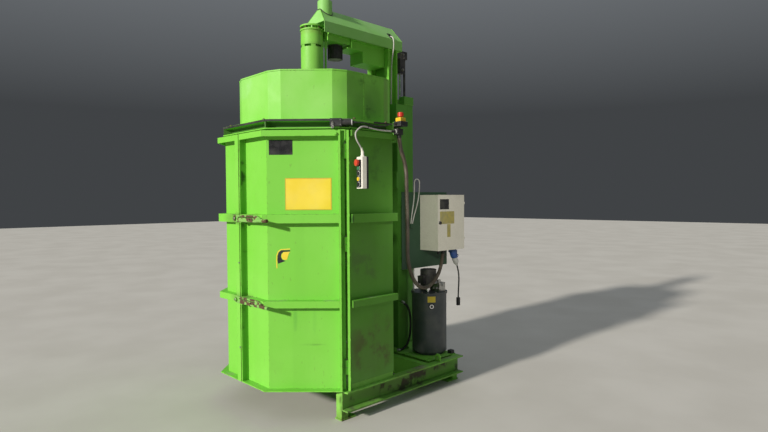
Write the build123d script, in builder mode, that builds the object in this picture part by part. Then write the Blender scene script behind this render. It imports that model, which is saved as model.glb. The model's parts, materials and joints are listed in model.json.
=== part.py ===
"""Rotary press container: octagonal chamber with two doors, feed hopper, lift mast and packer drum.

Millimetres, +Z up. The front is -Y, where the two door leaves meet. The origin lies on the floor,
at the centre of the four anchor holes in the feet. Depths named _y are counted from the chamber's
centre, at chamber_y, unless they say otherwise.
"""

from build123d import *
from math import cos, pi, radians, sin, sqrt, tan
import os

os.makedirs("parts", exist_ok=True)

# Base frame
base_length = 1080.0
beam_height = 120.0
beam_flange = 55.0
beam_web = 7.0
beam_flange_thickness = 9.0
beam_back_x = 550.0
frame_top = 180.0
foot_tube = 50.0
foot_plate_thickness = 8.0
foot_plate_length = 110.0
foot_plate_width = 62.0
foot_plate_lip = 4.0
anchor_hole_r = 7.0
anchor_x = 525.0
anchor_inset = 75.0
sill_height = 35.0
sill_width = 16.0
cross_member_width = 50.0
lug_y = 560.0
lug_width = 44.0
lug_height = 52.0
lug_thickness = 12.0
lug_corner = 12.0
lug_hole_r = 10.0

# Chamber
chamber_y = -250.0
chamber_half = 585.0
side_wall_rear = 108.0
wall = 5.0
ring_bottom = 1712.0
post_near = 3.0
post_far = 24.0
post_foot = 2.0
band_depth = 45.0
band_sheet = 4.0
top_band_height = 35.0
top_gap = 12.0
upper_band = (1165.0, 1215.0)
lower_band = (673.0, 713.0)

# Doors
door_bottom = 184.0
door_gap = 6.0
door_edge = 31.0
edge_rib_near = 50.0
edge_rib_thickness = 12.0
meeting_post_width = 42.0
meeting_post_sheet = 4.0
meeting_bar = 8.0
meeting_bar_depth = 44.0
bottom_flange = 6.0
strike_along = 78.0
strike_r = 9.0
strike_length = 12.0

# Hinges
hinge_heights = (320.0, 1040.0, 1580.0)
hinge_length = 85.0
hinge_barrel_r = 9.0
hinge_pin_r = 5.0
hinge_pin_short = 4.0
hinge_out = 11.0
hinge_leaf = 5.0
running_clearance = 0.05
axial_clearance = 0.4

# Latches
latch_bar_thickness = 10.0
latch_bar_height = 40.0
latch_bar_reach = 285.0
latch_bar_taper = 45.0
latch_bar_nose = 24.0
latch_slot_span = (30.0, 215.0)
latch_slot_width = 6.0
latch_slot_drop = 7.0
latch_holes = (165.0, 200.0)
latch_hole_r = 5.5
latch_hole_rise = 7.0
latch_grip_r = 11.0
latch_grip_length = 103.0
latch_grip_hold = 30.0
latch_grip_rounding = 4.0
latch_stud_r = 8.0
latch_washer = 4.0
latch_washer_r = 14.0
latch_head = 9.0
keeper_length = 28.0
keeper_sheet = 5.0
keeper_back = 3.0
keeper_x = 22.0
keeper_rise = 10.0
keeper_gap = 2.0
seat_gap = 0.3

# Channel ring and hopper
ring_height = 50.0
ring_flange = 50.0
ring_out = 12.0
ring_sheet = 6.0
gusset = 6.0
gusset_set_back = 3.0
hopper_shift = -25.0
hopper_half = 490.0
hopper_top = 2075.0
hopper_sheet = 4.0
hopper_fold = 49.5
hopper_base = 6.0
rim_bead = 2.5
rim_height = 8.0
hopper_bolt_r = 6.0
hopper_bolt_head_r = 11.0
hopper_bolt_head = 8.0
hopper_bolt_inset = 14.0
hopper_bolt_share = 0.8
hopper_rear_step = 12.0
hopper_bolt_rear_share = 0.6

# Lift mast
mast_y = 590.5
rail_depth = 91.0
rail_half_span = 115.0
rail_width = 45.0
rail_sheet = 8.0
rail_bottom = 350.0
tie_plate_bottom = 2000.0
cable_shelf = 1895.0
mast_gland_x = 92.5
mast_gland_y = 340.0
mast_gland_height = 20.0
pad_thickness = 9.7
pad_depth = 70.0
mast_post_width = 80.0
mast_post_depth = 100.0
mast_post_wall = 6.0
mast_post_top = 1995.0
collar_heights = ((1380.0, 1500.0), (1850.0, 1995.0))
collar_sheet = 10.0
mast_foot_plate = 12.0
hose_port = (312.0, 548.0)
hose_port_x = 219.0

# Arm
arm_top = 2415.0
arm_front_y = -49.0
arm_rear_y = 690.0
arm_box_height = 70.0
arm_box_half = 92.0
arm_box_wall = 6.0
roof_half = 115.0
roof_gap = 2.0
roof_rise = 123.0
roof_sheet = 4.0
roof_apex_y = 0.0
casing_half = 85.0
casing_depth = 40.0
casing_rear = 200.0
casing_tab = 6.0
casing_tab_width = 40.0
casing_tab_drop = 26.0
casing_foot = 34.0
low_box_half = 69.0
low_box_depth = 135.0
low_box_front = 330.0
rear_body_depth = 55.0
cowl_y = 45.0
cowl_r = 50.0
cowl_rise = 50.0
cowl_cap_r = 16.0
cowl_cap_height = 35.0
cable_slot_x = (68.0, 106.0)
cable_slot_y = (576.0, 606.0)
cable_slot_rise = (3.0, 58.0)
cable_clamp_x = (24.0, 50.0)
cable_clamp_height = 37.0
motor_y = 132.0
motor_r = 52.0
motor_length = 96.0
motor_flange = 12.0

# Drive column and packer drum
column_r = 75.0
column_wall = 10.0
housing_drop = 80.0
housing_rise = 51.0
housing_flange_r = 80.0
housing_flange_height = 36.0
flange_plate = 10.0
flange_nut_r = 7.0
flange_nut_count = 10
journal_r = 50.0
journal_length = 70.0
notch_count = 6
notch_height = 14.0
notch_share = 0.6
column_gap = 1.0
column_plug = 30.0
column_bottom = 930.0
head_size = 170.0
head_height = 230.0
axle_r = 30.0
axle_nose = 14.0
drum_length = 305.0
drum_r = 125.0
drum_tooth = 30.0
drum_tooth_width = 30.0
drum_rows = 4
drum_teeth = 8
drum_side_gap = 1.0
guard_rod_r = 7.0
guard_rod_x = 46.0
guard_rod_y = 12.0
guard_rod_bottom = 2100.0

# Guide posts and lifting cylinder
guide_y = 786.0
guide_x = 62.0
guide_post_width = 50.0
guide_post_depth = 92.0
guide_post_wall = 4.0
guide_post_top = 2055.0
guide_cap_width = 58.0
guide_cap_depth = 100.0
guide_cap_rise = 35.0
guide_cap_hold = 25.0
cylinder_r = 32.0
cylinder_bore_r = 25.0
cylinder_foot = 20.0
cylinder_top = 2020.0
gland_thickness = 40.0
rod_r = 11.0
rod_foot = 880.0
rod_top = 2320.0
piston_length = 40.0
clevis_bottom = 2280.0
clevis_top = 2455.0
clevis_size = 50.0
clevis_arm_height = 60.0
side_bar_r = 9.5
side_bar_gap = 2.5
side_bar_bottom = 2100.0

# Rear deck, and the foot behind it that carries the rear posts
rear_foot_half = 110.0
rear_foot_depth = 45.0
rear_foot_height = 65.0
deck_thickness = 5.0
deck_front = 500.0
deck_rib = 4.0
deck_rib_width = 20.0
deck_rib_length = 75.0
deck_rib_count = 6
hose_end = (210.0, 270.0, 195.0)
hose_fitting_r = 9.5
hose_fitting_length = 18.0
hose_fitting_run = (-24.0, -16.0, -3.0)
hose_block_x = (181.0, 203.0)
hose_block_y = (251.0, 273.0)
hose_block_height = 24.0

# Hydraulic unit
tank_x = 375.0
tank_y = 690.0
tank_r = 125.0
tank_height = 415.0
tank_wall = 4.0
tank_foot = 20.0
tank_lid_thickness = 12.0
tank_lid_over = 7.0
sight_glass_r = 17.0
sight_glass_proud = 8.0
sight_glass_height = 334.0
sight_glass_turn = -41.0
pump_motor_r = 60.0
pump_motor_length = 150.0
pump_motor_x = -38.0
pump_motor_y = 35.0
motor_fin_count = 16
motor_fin = 5.0
fan_cowl = 32.0
valve_block_size = 66.0
valve_block_height = 64.0
valve_block_x = 58.0
valve_block_y = 40.0
filler_r = 15.0
filler_x = 48.0
filler_y = -68.0
filler_height = 34.0

# Mounting plate and cabinet
plate_x = 322.0
plate_thickness = 4.0
plate_front = 462.0
plate_rear = 958.0
plate_bottom = 800.0
plate_top = 1352.0
plate_bracket = 40.0
plate_bracket_heights = (830.0, 1240.0)
loop_block_depth = 18.0
loop_block_y = (538.0, 570.0)
loop_block_z = (1095.0, 1125.0)
cabinet_depth = 150.0
cabinet_width = 300.0
cabinet_height = 400.0
cabinet_y = 655.0
cabinet_bottom = 930.0
cabinet_sheet = 3.0
cabinet_door_depth = 18.0
cabinet_gap = 2.0
cabinet_pin_r = 4.0
cabinet_knuckle_r = 7.0
cabinet_knuckle = 36.0
cabinet_leaf = 21.0
cabinet_hinge_inset = 70.0
lock_r = 11.0
lock_length = 26.0
lock_proud = 8.0
lock_inset = 22.0
key_slot = 2.0
gland_x = 425.0
gland_r = 10.0
small_gland_y = 735.0
conduit_gland_r = 17.0
conduit_gland_y = 790.0
gland_height = 24.0
gland_hex_share = 1.15
socket_x = 420.0
socket_y = 905.0
socket_base = 18.0
socket_disc = 27.0
socket_r = 30.0
socket_length = 46.0
plug_r = 21.0
plug_length = 78.0
plug_relief = 24.0
relief_taper = 20.0
plug_tilt = 25.0
connector_point = (418.0, 726.0, 550.0)
connector_r = 15.0
connector_length = 58.0

# Emergency stop and junction box
bracket_sheet = 4.0
stop_y = 96.0
stop_reach = 38.0
stop_width = 64.0
stop_depth = 62.0
stop_bottom = 1744.0
stop_base_height = 28.0
stop_cover_height = 24.0
stop_cover_inset = 9.0
stop_rounding = 3.0
stop_button_r = 18.0
stop_button_height = 25.0
stop_stem_r = 9.0
stop_travel = 5.0
junction_depth = 36.0
junction_y = 88.5
junction_width = 47.0
junction_height = 36.0
junction_z = 1694.0
junction_gland_x = 16.0
junction_gland_r = 9.0
junction_gland_length = 14.0

# Pendant control
pendant_x = 655.0
pendant_y = -205.0
pendant_turn = 10.0
pendant_width = 62.0
pendant_depth = 49.0
pendant_bottom = 1362.0
pendant_height = 183.0
pendant_back = 17.0
pendant_corner = 8.0
pendant_pitch = 31.0
pendant_first = 24.0
pendant_count = 5
pendant_button_r = 11.0
pendant_stem_r = 8.0
pendant_button_proud = 8.0
pendant_travel = 4.0
pendant_mushroom_r = 19.0
pendant_mushroom_proud = 22.0
pendant_mushroom_height = 12.0
pendant_stem_depth = 18.0
pendant_gland_r = 9.0
pendant_gland_height = 28.0
pendant_gland_hex_share = 1.3

# Door switch
switch_along = 74.0
switch_length = 68.0
switch_depth = 40.0
switch_height = 44.0
switch_z = 1720.0
switch_gland_r = 17.0
switch_gland_length = 60.0
lever_along = 92.0
lever_pivot_z = 1740.0
lever_length = 26.0
lever_thickness = 5.0
lever_stem_r = 6.0
lever_stem_depth = 12.0
roller_r = 9.0
roller_width = 8.0

# Cords: share of the shorter run that an arc takes up
arc_share = 0.45

half_fold = radians(22.5)
fold = tan(half_fold)
diagonal = 1 / sqrt(2)
flat = chamber_half * fold
deck_top = frame_top + deck_thickness
rear_wall = side_wall_rear + chamber_half - flat
column_y = chamber_y + (rear_wall - chamber_half) / 2
shell_bottom = frame_top + sill_height
ring_top = ring_bottom + ring_height
door_top = ring_bottom - top_gap
top_band = (door_top - top_band_height, door_top)
base_half = base_length / 2
arm_box_top = arm_top + arm_box_height
roof_eave = arm_box_top + roof_gap
roof_ridge = roof_eave + roof_rise
cowl_top = roof_ridge + cowl_rise
casing_bottom = arm_top - casing_depth
housing_bottom = arm_top - housing_drop
housing_top = arm_top + housing_rise
housing_flange_bottom = housing_top - housing_flange_height
guide_cap_top = guide_post_top + guide_cap_rise


def chamber_level(z):
    """Horizontal plane at height z, centred on the chamber."""
    return Plane(origin=(0, chamber_y, z))


def level(x, y, z):
    """Horizontal plane through a point."""
    return Plane(origin=(x, y, z))


def facing_front(x, y, z):
    """Upright plane through a point, with its normal towards the front."""
    return Plane(origin=(x, y, z), x_dir=(1, 0, 0), z_dir=(0, -1, 0))


def facing_right(x, y, z):
    """Upright plane through a point, with its normal towards the right."""
    return Plane(origin=(x, y, z), x_dir=(0, 1, 0), z_dir=(1, 0, 0))


def facing_diagonal(along, out, z):
    """Upright plane on the right front diagonal face, with its normal outward."""
    x, y = diagonal_point(along, out, 1)
    return Plane(origin=(x, chamber_y + y, z), x_dir=(diagonal, diagonal, 0), z_dir=(diagonal, -diagonal, 0))


def plan_points(grow):
    """Corners of the chamber plan about the chamber centre, grown outward by grow."""
    half = chamber_half + grow
    half_flat = half * fold
    side_rear = side_wall_rear + grow * fold
    rear = side_rear + half - half_flat
    return [
        (-half_flat, -half), (half_flat, -half), (half, -half_flat), (half, side_rear),
        (half_flat, rear), (-half_flat, rear), (-half, side_rear), (-half, -half_flat),
    ]


def diagonal_point(along, out, side):
    """Point on a front diagonal face: along it from the side corner, and out from the face."""
    x = chamber_half - along * diagonal + out * diagonal
    y = -chamber_half * fold - along * diagonal - out * diagonal
    return (side * x, y)


def diagonal_strip(near, far, inner, outer, side):
    """Plan of a rectangle on a front diagonal face."""
    return [diagonal_point(near, inner, side), diagonal_point(far, inner, side),
            diagonal_point(far, outer, side), diagonal_point(near, outer, side)]


def fixed_outline(outer, inner):
    """Plan of a strip along the fixed walls, from one door post round the back to the other."""
    points = []
    for grow in (outer, inner):
        run = [diagonal_point(post_far, grow, 1)] + plan_points(grow)[2:8]
        run += [diagonal_point(post_far, grow, -1)]
        points += run if grow == outer else run[::-1]
    return points


def door_outline(side, outer, inner, end):
    """Plan of a strip along one door, from the meeting edge to a distance from the side corner."""
    points = []
    for grow in (outer, inner):
        run = [(side * door_gap / 2, -chamber_half - grow)]
        run += [(side * (chamber_half + grow) * fold, -chamber_half - grow)]
        run += [diagonal_point(end, grow, side)]
        points += run if grow == outer else run[::-1]
    return points


def band_outline(side, outer, inner):
    """Plan of a strip along a side wall's band, which is mitred at its front end."""
    points = []
    for grow in (outer, inner):
        run = [(side * (chamber_half + grow), side_wall_rear)]
        run += [(side * (chamber_half + grow), -flat - grow * fold)]
        points += run if grow == outer else run[::-1]
    return points


def prism(plane, points, amount, mode=Mode.ADD):
    """Extrude a polygon drawn on a plane."""
    with BuildSketch(plane) as section:
        with BuildLine():
            Polyline(*points, close=True)
        make_face()
    extrude(section.sketch, amount=amount, mode=mode)


def rod(plane, radius, amount, mode=Mode.ADD):
    """Extrude a circle centred on a plane's origin."""
    with BuildSketch(plane) as section:
        Circle(radius)
    extrude(section.sketch, amount=amount, mode=mode)


def hex_head(plane, radius, amount):
    """Extrude a hexagon centred on a plane's origin."""
    with BuildSketch(plane) as section:
        RegularPolygon(radius, 6)
    extrude(section.sketch, amount=amount)


def block(x_span, y_span, z_span, mode=Mode.ADD):
    """Rectangular block between coordinates, given in either order for x and y."""
    with BuildSketch(level(sum(x_span) / 2, sum(y_span) / 2, z_span[0])) as section:
        Rectangle(abs(x_span[1] - x_span[0]), abs(y_span[1] - y_span[0]))
    extrude(section.sketch, amount=z_span[1] - z_span[0], mode=mode)


def hopper_plan(z, inset):
    """Hopper plan at a height: an octagon, cut short at the rear, whose corners are folded in two steps."""
    rear = rear_wall - hopper_rear_step - hopper_shift - inset
    with BuildSketch(level(0, chamber_y + hopper_shift, z)) as outline:
        RegularPolygon(hopper_half - inset, 8, major_radius=False, rotation=22.5)
        chamfer(outline.vertices(), hopper_fold)
        with Locations((0, rear + hopper_half)):
            Rectangle(2 * hopper_half, 2 * hopper_half, mode=Mode.SUBTRACT)
    return outline.sketch


def cord_along(route, radius, name):
    """Round cord of straight runs joined by tangent arcs, each as large as its runs allow."""
    points = [Vector(*point) for point in route]
    radii = []
    for before, corner, after in zip(points, points[1:], points[2:]):
        turn = radians((corner - before).get_angle(after - corner))
        shorter = min((corner - before).length, (after - corner).length)
        radii.append(arc_share * shorter / tan(turn / 2))
    with BuildPart() as cord:
        with BuildLine() as path:
            FilletPolyline(*points, radius=radii)
        with BuildSketch(Plane(origin=points[0], z_dir=points[1] - points[0])):
            Circle(radius)
        sweep(path=path.wires()[0])
    length = sum(edge.length for edge in path.edges())
    share = cord.part.volume / (pi * radius**2 * length)
    print(name, "length", round(length, 1), "least radius", round(min(radii), 1), "volume share", round(share, 4))
    return cord


# Base frame: two channel beams open outward, feet with anchor plates, cross members, sills and lugs
with BuildPart() as base_frame:
    beam_bottom = frame_top - beam_height
    for side in (-1, 1):
        outer_x = beam_back_x + beam_flange
        web_x = beam_back_x + beam_web
        prism(facing_front(0, base_half, 0), [
            (side * beam_back_x, beam_bottom), (side * outer_x, beam_bottom),
            (side * outer_x, beam_bottom + beam_flange_thickness),
            (side * web_x, beam_bottom + beam_flange_thickness),
            (side * web_x, frame_top - beam_flange_thickness),
            (side * outer_x, frame_top - beam_flange_thickness),
            (side * outer_x, frame_top), (side * beam_back_x, frame_top),
        ], base_length)
        for end in (-1, 1):
            block((side * (beam_back_x - foot_tube), side * beam_back_x),
                  (end * base_half, end * (base_half - foot_tube)), (foot_plate_thickness, frame_top))
            plate_outer = base_half + foot_plate_lip
            block((side * (anchor_x - foot_plate_width / 2), side * (anchor_x + foot_plate_width / 2)),
                  (end * plate_outer, end * (plate_outer - foot_plate_length)), (0, foot_plate_thickness))
            rod(level(side * anchor_x, end * (base_half - anchor_inset), 0), anchor_hole_r, foot_plate_thickness,
                Mode.SUBTRACT)
        block((side * (chamber_half - wall - sill_width), side * (chamber_half - wall)),
              (chamber_y - flat + wall, chamber_y + side_wall_rear), (frame_top, shell_bottom))
        lug_x = side * (beam_back_x + lug_width / 2)
        half_lug = lug_width / 2
        prism(facing_front(lug_x, chamber_y + lug_y, frame_top), [
            (-half_lug, 0), (-half_lug, lug_height - lug_corner), (-half_lug + lug_corner, lug_height),
            (half_lug - lug_corner, lug_height), (half_lug, lug_height - lug_corner), (half_lug, 0),
        ], lug_thickness)
        rod(facing_front(lug_x, chamber_y + lug_y, frame_top + lug_height / 2), lug_hole_r, lug_thickness,
            Mode.SUBTRACT)
    for member_rear in (chamber_y + rear_wall + cross_member_width / 2, base_half):
        block((-beam_back_x, beam_back_x), (member_rear - cross_member_width, member_rear),
              (beam_bottom, frame_top))
    block((-rear_foot_half, rear_foot_half), (base_half, base_half + rear_foot_depth),
          (deck_top - rear_foot_height, deck_top))
    block((-flat, flat), (chamber_y + rear_wall - sill_width, chamber_y + rear_wall), (frame_top, shell_bottom))
base_frame.part.label = "base_frame"
export_step(base_frame.part, "parts/base_frame.step")

# Rear deck: ribbed plate between the beams, behind the chamber
with BuildPart() as rear_deck:
    deck_half = beam_back_x - lug_thickness
    block((-deck_half, deck_half), (chamber_y + deck_front, base_half), (frame_top, deck_top))
    rib_pitch = 2 * (deck_half - 2 * deck_rib_width) / (deck_rib_count - 1)
    for number in range(deck_rib_count):
        rib_x = -deck_half + 2 * deck_rib_width + number * rib_pitch
        block((rib_x - deck_rib_width / 2, rib_x + deck_rib_width / 2),
              (chamber_y + deck_front, chamber_y + deck_front + deck_rib_length), (deck_top, deck_top + deck_rib))
    block(hose_block_x, hose_block_y, (deck_top, deck_top + hose_block_height))
    rod(Plane(origin=hose_end, z_dir=hose_fitting_run), hose_fitting_r, hose_fitting_length)
rear_deck.part.label = "rear_deck"
export_step(rear_deck.part, "parts/rear_deck.step")

# Chamber shell: side, rear diagonal and rear walls in folded sheet, door posts and side bands
with BuildPart() as chamber_shell:
    prism(chamber_level(shell_bottom), fixed_outline(0, -wall), ring_bottom - shell_bottom)
    for side in (-1, 1):
        prism(chamber_level(frame_top + post_foot), diagonal_strip(post_near, post_far, -wall, 0, side),
              shell_bottom - frame_top)
        for low, high in (top_band, upper_band, lower_band):
            prism(chamber_level(high - band_sheet), band_outline(side, band_depth, 0), band_sheet)
            prism(chamber_level(low), band_outline(side, band_depth, band_depth - band_sheet), high - low)
            band_front = -flat - band_depth * fold
            prism(chamber_level(low), [
                (side * chamber_half, -flat), (side * (chamber_half + band_depth), band_front),
                (side * (chamber_half + band_depth), band_front + band_sheet),
                (side * chamber_half, -flat + band_sheet),
            ], high - low)
            block((side * chamber_half, side * (chamber_half + band_depth)),
                  (chamber_y + side_wall_rear, chamber_y + side_wall_rear - band_sheet), (low, high))
chamber_shell.part.label = "chamber_shell"
export_step(chamber_shell.part, "parts/chamber_shell.step")

# Doors: each leaf is half the front face and one diagonal, with bands, ribs and a bottom flange
latch_heights = (sum(upper_band) / 2, sum(lower_band) / 2)
door_face_y = chamber_y - chamber_half
band_face_y = door_face_y - band_depth
stud_x = -(door_gap + meeting_post_width) / 2
bar_back_y = band_face_y - latch_washer
bar_front_y = bar_back_y - latch_bar_thickness
band_end = edge_rib_near + edge_rib_thickness
door_height = door_top - door_bottom
for name, side in (("door_right", 1), ("door_left", -1)):
    with BuildPart() as door:
        prism(chamber_level(door_bottom), door_outline(side, 0, -wall, door_edge), door_height)
        prism(chamber_level(door_bottom), diagonal_strip(edge_rib_near, band_end, 0, band_depth, side), door_height)
        prism(chamber_level(door_bottom), door_outline(side, band_depth, 0, band_end), bottom_flange)
        for low, high in (top_band, upper_band, lower_band):
            prism(chamber_level(high - band_sheet), door_outline(side, band_depth, 0, band_end), band_sheet)
            prism(chamber_level(low), door_outline(side, band_depth, band_depth - band_sheet, band_end), high - low)
        if side > 0:
            block((door_gap / 2, door_gap / 2 + meeting_bar), (door_face_y - meeting_bar_depth, door_face_y),
                  (door_bottom, door_top))
            for latch_z in latch_heights:
                keeper_low = latch_z - latch_bar_height / 2 - seat_gap
                block((keeper_x, keeper_x + keeper_length), (bar_front_y - keeper_gap, band_face_y),
                      (keeper_low - keeper_sheet, keeper_low))
                block((keeper_x, keeper_x + keeper_length), (band_face_y - keeper_back, band_face_y),
                      (keeper_low - keeper_sheet, latch_z + keeper_rise))
            hex_head(facing_diagonal(strike_along, band_depth, sum(top_band) / 2 - strike_r / 2), strike_r,
                     strike_length)
        else:
            post_x = (-door_gap / 2 - meeting_post_width, -door_gap / 2)
            block(post_x, (band_face_y, door_face_y), (door_bottom, door_top))
            block((post_x[0] + meeting_post_sheet, post_x[1] - meeting_post_sheet),
                  (band_face_y + meeting_post_sheet, door_face_y), (door_bottom, door_top), Mode.SUBTRACT)
            for latch_z in latch_heights:
                stud_root = band_face_y + meeting_post_sheet
                rod(facing_front(stud_x, stud_root, latch_z), latch_washer_r, stud_root - bar_back_y - seat_gap)
                rod(facing_front(stud_x, stud_root, latch_z), latch_stud_r, stud_root - bar_front_y + seat_gap)
                hex_head(facing_front(stud_x, bar_front_y - seat_gap, latch_z), latch_washer_r, latch_head)
    door.part.label = name
    export_step(door.part, f"parts/{name}.step")

# Hinges: lift-off pairs, the lower half with its pin on the post and the upper half on the door
hinge_along = (post_far + door_edge) / 2
half_hinge = hinge_length / 2
with BuildPart() as door_hinge_pins:
    for side in (-1, 1):
        axis_x, axis_y = diagonal_point(hinge_along, hinge_out, side)
        for height in hinge_heights:
            low = height - half_hinge
            rod(level(axis_x, chamber_y + axis_y, low), hinge_barrel_r, half_hinge)
            rod(level(axis_x, chamber_y + axis_y, low), hinge_pin_r, hinge_length - hinge_pin_short)
            prism(chamber_level(low), diagonal_strip(post_near, hinge_along, 0, hinge_leaf, side), half_hinge)
door_hinge_pins.part.label = "door_hinge_pins"
export_step(door_hinge_pins.part, "parts/door_hinge_pins.step")

for name, side in (("right_hinge_leaves", 1), ("left_hinge_leaves", -1)):
    axis_x, axis_y = diagonal_point(hinge_along, hinge_out, side)
    upper_half = half_hinge - axial_clearance
    with BuildPart() as leaves:
        for height in hinge_heights:
            low = height + axial_clearance
            rod(level(axis_x, chamber_y + axis_y, low), hinge_barrel_r, upper_half)
            prism(chamber_level(low), diagonal_strip(hinge_along, edge_rib_near, 0, hinge_leaf, side), upper_half)
            rod(level(axis_x, chamber_y + axis_y, low), hinge_pin_r + running_clearance, upper_half, Mode.SUBTRACT)
    leaves.part.label = name
    export_step(leaves.part, f"parts/{name}.step")

# Latch bars: a slotted flat bar on the left leaf's stud, lying in the right leaf's keeper, with a round grip
half_bar = latch_bar_height / 2
slot_length = latch_slot_span[1] - latch_slot_span[0]
grip_root_x = stud_x + latch_bar_reach - latch_grip_hold
grip_y = bar_back_y - latch_grip_r
for name, latch_z in (("upper_latch_bar", latch_heights[0]), ("lower_latch_bar", latch_heights[1])):
    with BuildPart() as latch_bar:
        prism(facing_front(stud_x, bar_back_y, latch_z), [
            (0, -half_bar), (latch_bar_reach, -half_bar), (latch_bar_reach, latch_bar_nose - half_bar),
            (latch_bar_reach - latch_bar_taper, half_bar), (0, half_bar),
        ], latch_bar_thickness)
        rod(facing_front(stud_x, bar_back_y, latch_z), half_bar, latch_bar_thickness)
        with BuildSketch(facing_front(stud_x + latch_slot_span[0] + slot_length / 2, bar_back_y,
                                      latch_z + latch_slot_drop)) as slot_plan:
            SlotOverall(slot_length, latch_slot_width)
        extrude(slot_plan.sketch, amount=latch_bar_thickness, mode=Mode.SUBTRACT)
        for hole_x in latch_holes:
            rod(facing_front(stud_x + hole_x, bar_back_y, latch_z - latch_hole_rise), latch_hole_r,
                latch_bar_thickness, Mode.SUBTRACT)
        rod(facing_right(grip_root_x, grip_y, latch_z + latch_grip_r - half_bar), latch_grip_r, latch_grip_length)
        fillet(latch_bar.faces().sort_by(Axis.X)[-1].edges(), latch_grip_rounding)
        rod(facing_front(stud_x, bar_back_y, latch_z), latch_stud_r + running_clearance, latch_bar_thickness,
            Mode.SUBTRACT)
    latch_bar.part.label = name
    export_step(latch_bar.part, f"parts/{name}.step")

# Channel ring: outward C section round the whole plan, with corner gussets and the control bracket
ring_edge_x = chamber_half + ring_out
ring_web = ring_out - ring_flange
stop_back = ring_edge_x + stop_reach
stop_y_span = (chamber_y + stop_y - stop_width / 2, chamber_y + stop_y + stop_width / 2)
with BuildPart() as channel_ring:
    prism(chamber_level(ring_bottom), plan_points(ring_out), ring_sheet)
    prism(chamber_level(ring_bottom), plan_points(ring_web), ring_height)
    prism(chamber_level(ring_top - ring_sheet), plan_points(ring_out), ring_sheet)
    prism(chamber_level(ring_bottom), plan_points(ring_web - ring_sheet), ring_height, Mode.SUBTRACT)
    gusset_root = ring_web / cos(half_fold) - ring_sheet / 2
    gusset_tip = ring_out / cos(half_fold) - gusset_set_back
    for side in (-1, 1):
        for corner, angle in (((flat, -chamber_half), pi / 2 - half_fold), ((chamber_half, -flat), half_fold)):
            along = Vector(cos(angle), -sin(angle))
            across = Vector(sin(angle), cos(angle)) * (gusset / 2)
            root = Vector(*corner) + along * gusset_root
            tip = Vector(*corner) + along * gusset_tip
            web = [root - across, tip - across, tip + across, root + across]
            prism(chamber_level(ring_bottom), [(side * point.X, point.Y) for point in web], ring_height)
    block((stop_back, stop_back + bracket_sheet), stop_y_span, (junction_z, stop_bottom + stop_base_height))
    block((ring_edge_x, stop_back), stop_y_span, (ring_top - ring_sheet, ring_top))
channel_ring.part.label = "channel_ring"
export_step(channel_ring.part, "parts/channel_ring.step")

# Feed hopper: octagon with folded corners, a wide bottom flange on the ring and a turned rim
bolt_out = chamber_half - hopper_bolt_inset
bolt_side_y = (-flat * hopper_bolt_share, side_wall_rear * hopper_bolt_rear_share)
bolt_points = [(side * bolt_out, y) for side in (-1, 1) for y in bolt_side_y]
bolt_end_y = (-bolt_out, rear_wall)
bolt_points += [(side * flat * hopper_bolt_share, y) for side in (-1, 1) for y in bolt_end_y]
with BuildPart() as feed_hopper:
    prism(chamber_level(ring_top), plan_points(ring_out), hopper_base)
    extrude(hopper_plan(ring_top, 0), amount=hopper_top - ring_top)
    extrude(hopper_plan(hopper_top - rim_height, -rim_bead), amount=rim_height)
    extrude(hopper_plan(ring_top, hopper_sheet), amount=hopper_top - ring_top, mode=Mode.SUBTRACT)
    for x, y in bolt_points:
        rod(level(x, chamber_y + y, ring_top), hopper_bolt_r + running_clearance, hopper_base, Mode.SUBTRACT)
feed_hopper.part.label = "feed_hopper"
export_step(feed_hopper.part, "parts/feed_hopper.step")

with BuildPart() as hopper_bolts:
    for x, y in bolt_points:
        hex_head(level(x, chamber_y + y, ring_top + hopper_base), hopper_bolt_head_r, hopper_bolt_head)
        rod(level(x, chamber_y + y, ring_top), hopper_bolt_r, hopper_base)
hopper_bolts.part.label = "hopper_bolts"
export_step(hopper_bolts.part, "parts/hopper_bolts.step")

# Mast guide: two fixed posts on the deck, joined by collars and tied to the ring
mast_centre = chamber_y + mast_y
post_inner_x = rail_half_span + pad_thickness + seat_gap
post_outer_x = post_inner_x + mast_post_width
post_front = mast_centre - mast_post_depth / 2
post_rear = mast_centre + mast_post_depth / 2
plate_inner_x = plate_x - plate_thickness
with BuildPart() as mast_guide:
    for side in (-1, 1):
        block((side * post_inner_x, side * post_outer_x), (post_front, post_rear), (deck_top, mast_post_top))
        block((side * (post_inner_x + mast_post_wall), side * (post_outer_x - mast_post_wall)),
              (post_front + mast_post_wall, post_rear - mast_post_wall), (deck_top, mast_post_top), Mode.SUBTRACT)
        block((side * post_inner_x, side * (post_outer_x + mast_foot_plate)), (post_front, post_rear),
              (deck_top, deck_top + mast_foot_plate))
        block((side * (post_inner_x + mast_post_wall), side * (post_outer_x - mast_post_wall)),
              (chamber_y + rear_wall + ring_out, post_front), (ring_bottom, ring_top))
    for low, high in collar_heights:
        block((-post_outer_x, post_outer_x), (post_front - collar_sheet, post_front), (low, high))
        block((-post_outer_x, post_outer_x), (post_rear, post_rear + collar_sheet), (low, high))
    for height in plate_bracket_heights:
        block((post_outer_x, plate_inner_x), (mast_centre - plate_bracket / 2, mast_centre + plate_bracket / 2),
              (height, height + plate_bracket))
    rod(facing_right(post_outer_x, *hose_port), hose_fitting_r, hose_port_x - post_outer_x)
mast_guide.part.label = "mast_guide"
export_step(mast_guide.part, "parts/mast_guide.step")

with BuildPart() as guide_pads:
    for side in (-1, 1):
        for low, high in collar_heights:
            block((side * post_inner_x, side * (post_inner_x - pad_thickness)),
                  (mast_centre - pad_depth / 2, mast_centre + pad_depth / 2), (low, high))
guide_pads.part.label = "guide_pads"
export_step(guide_pads.part, "parts/guide_pads.step")

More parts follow.
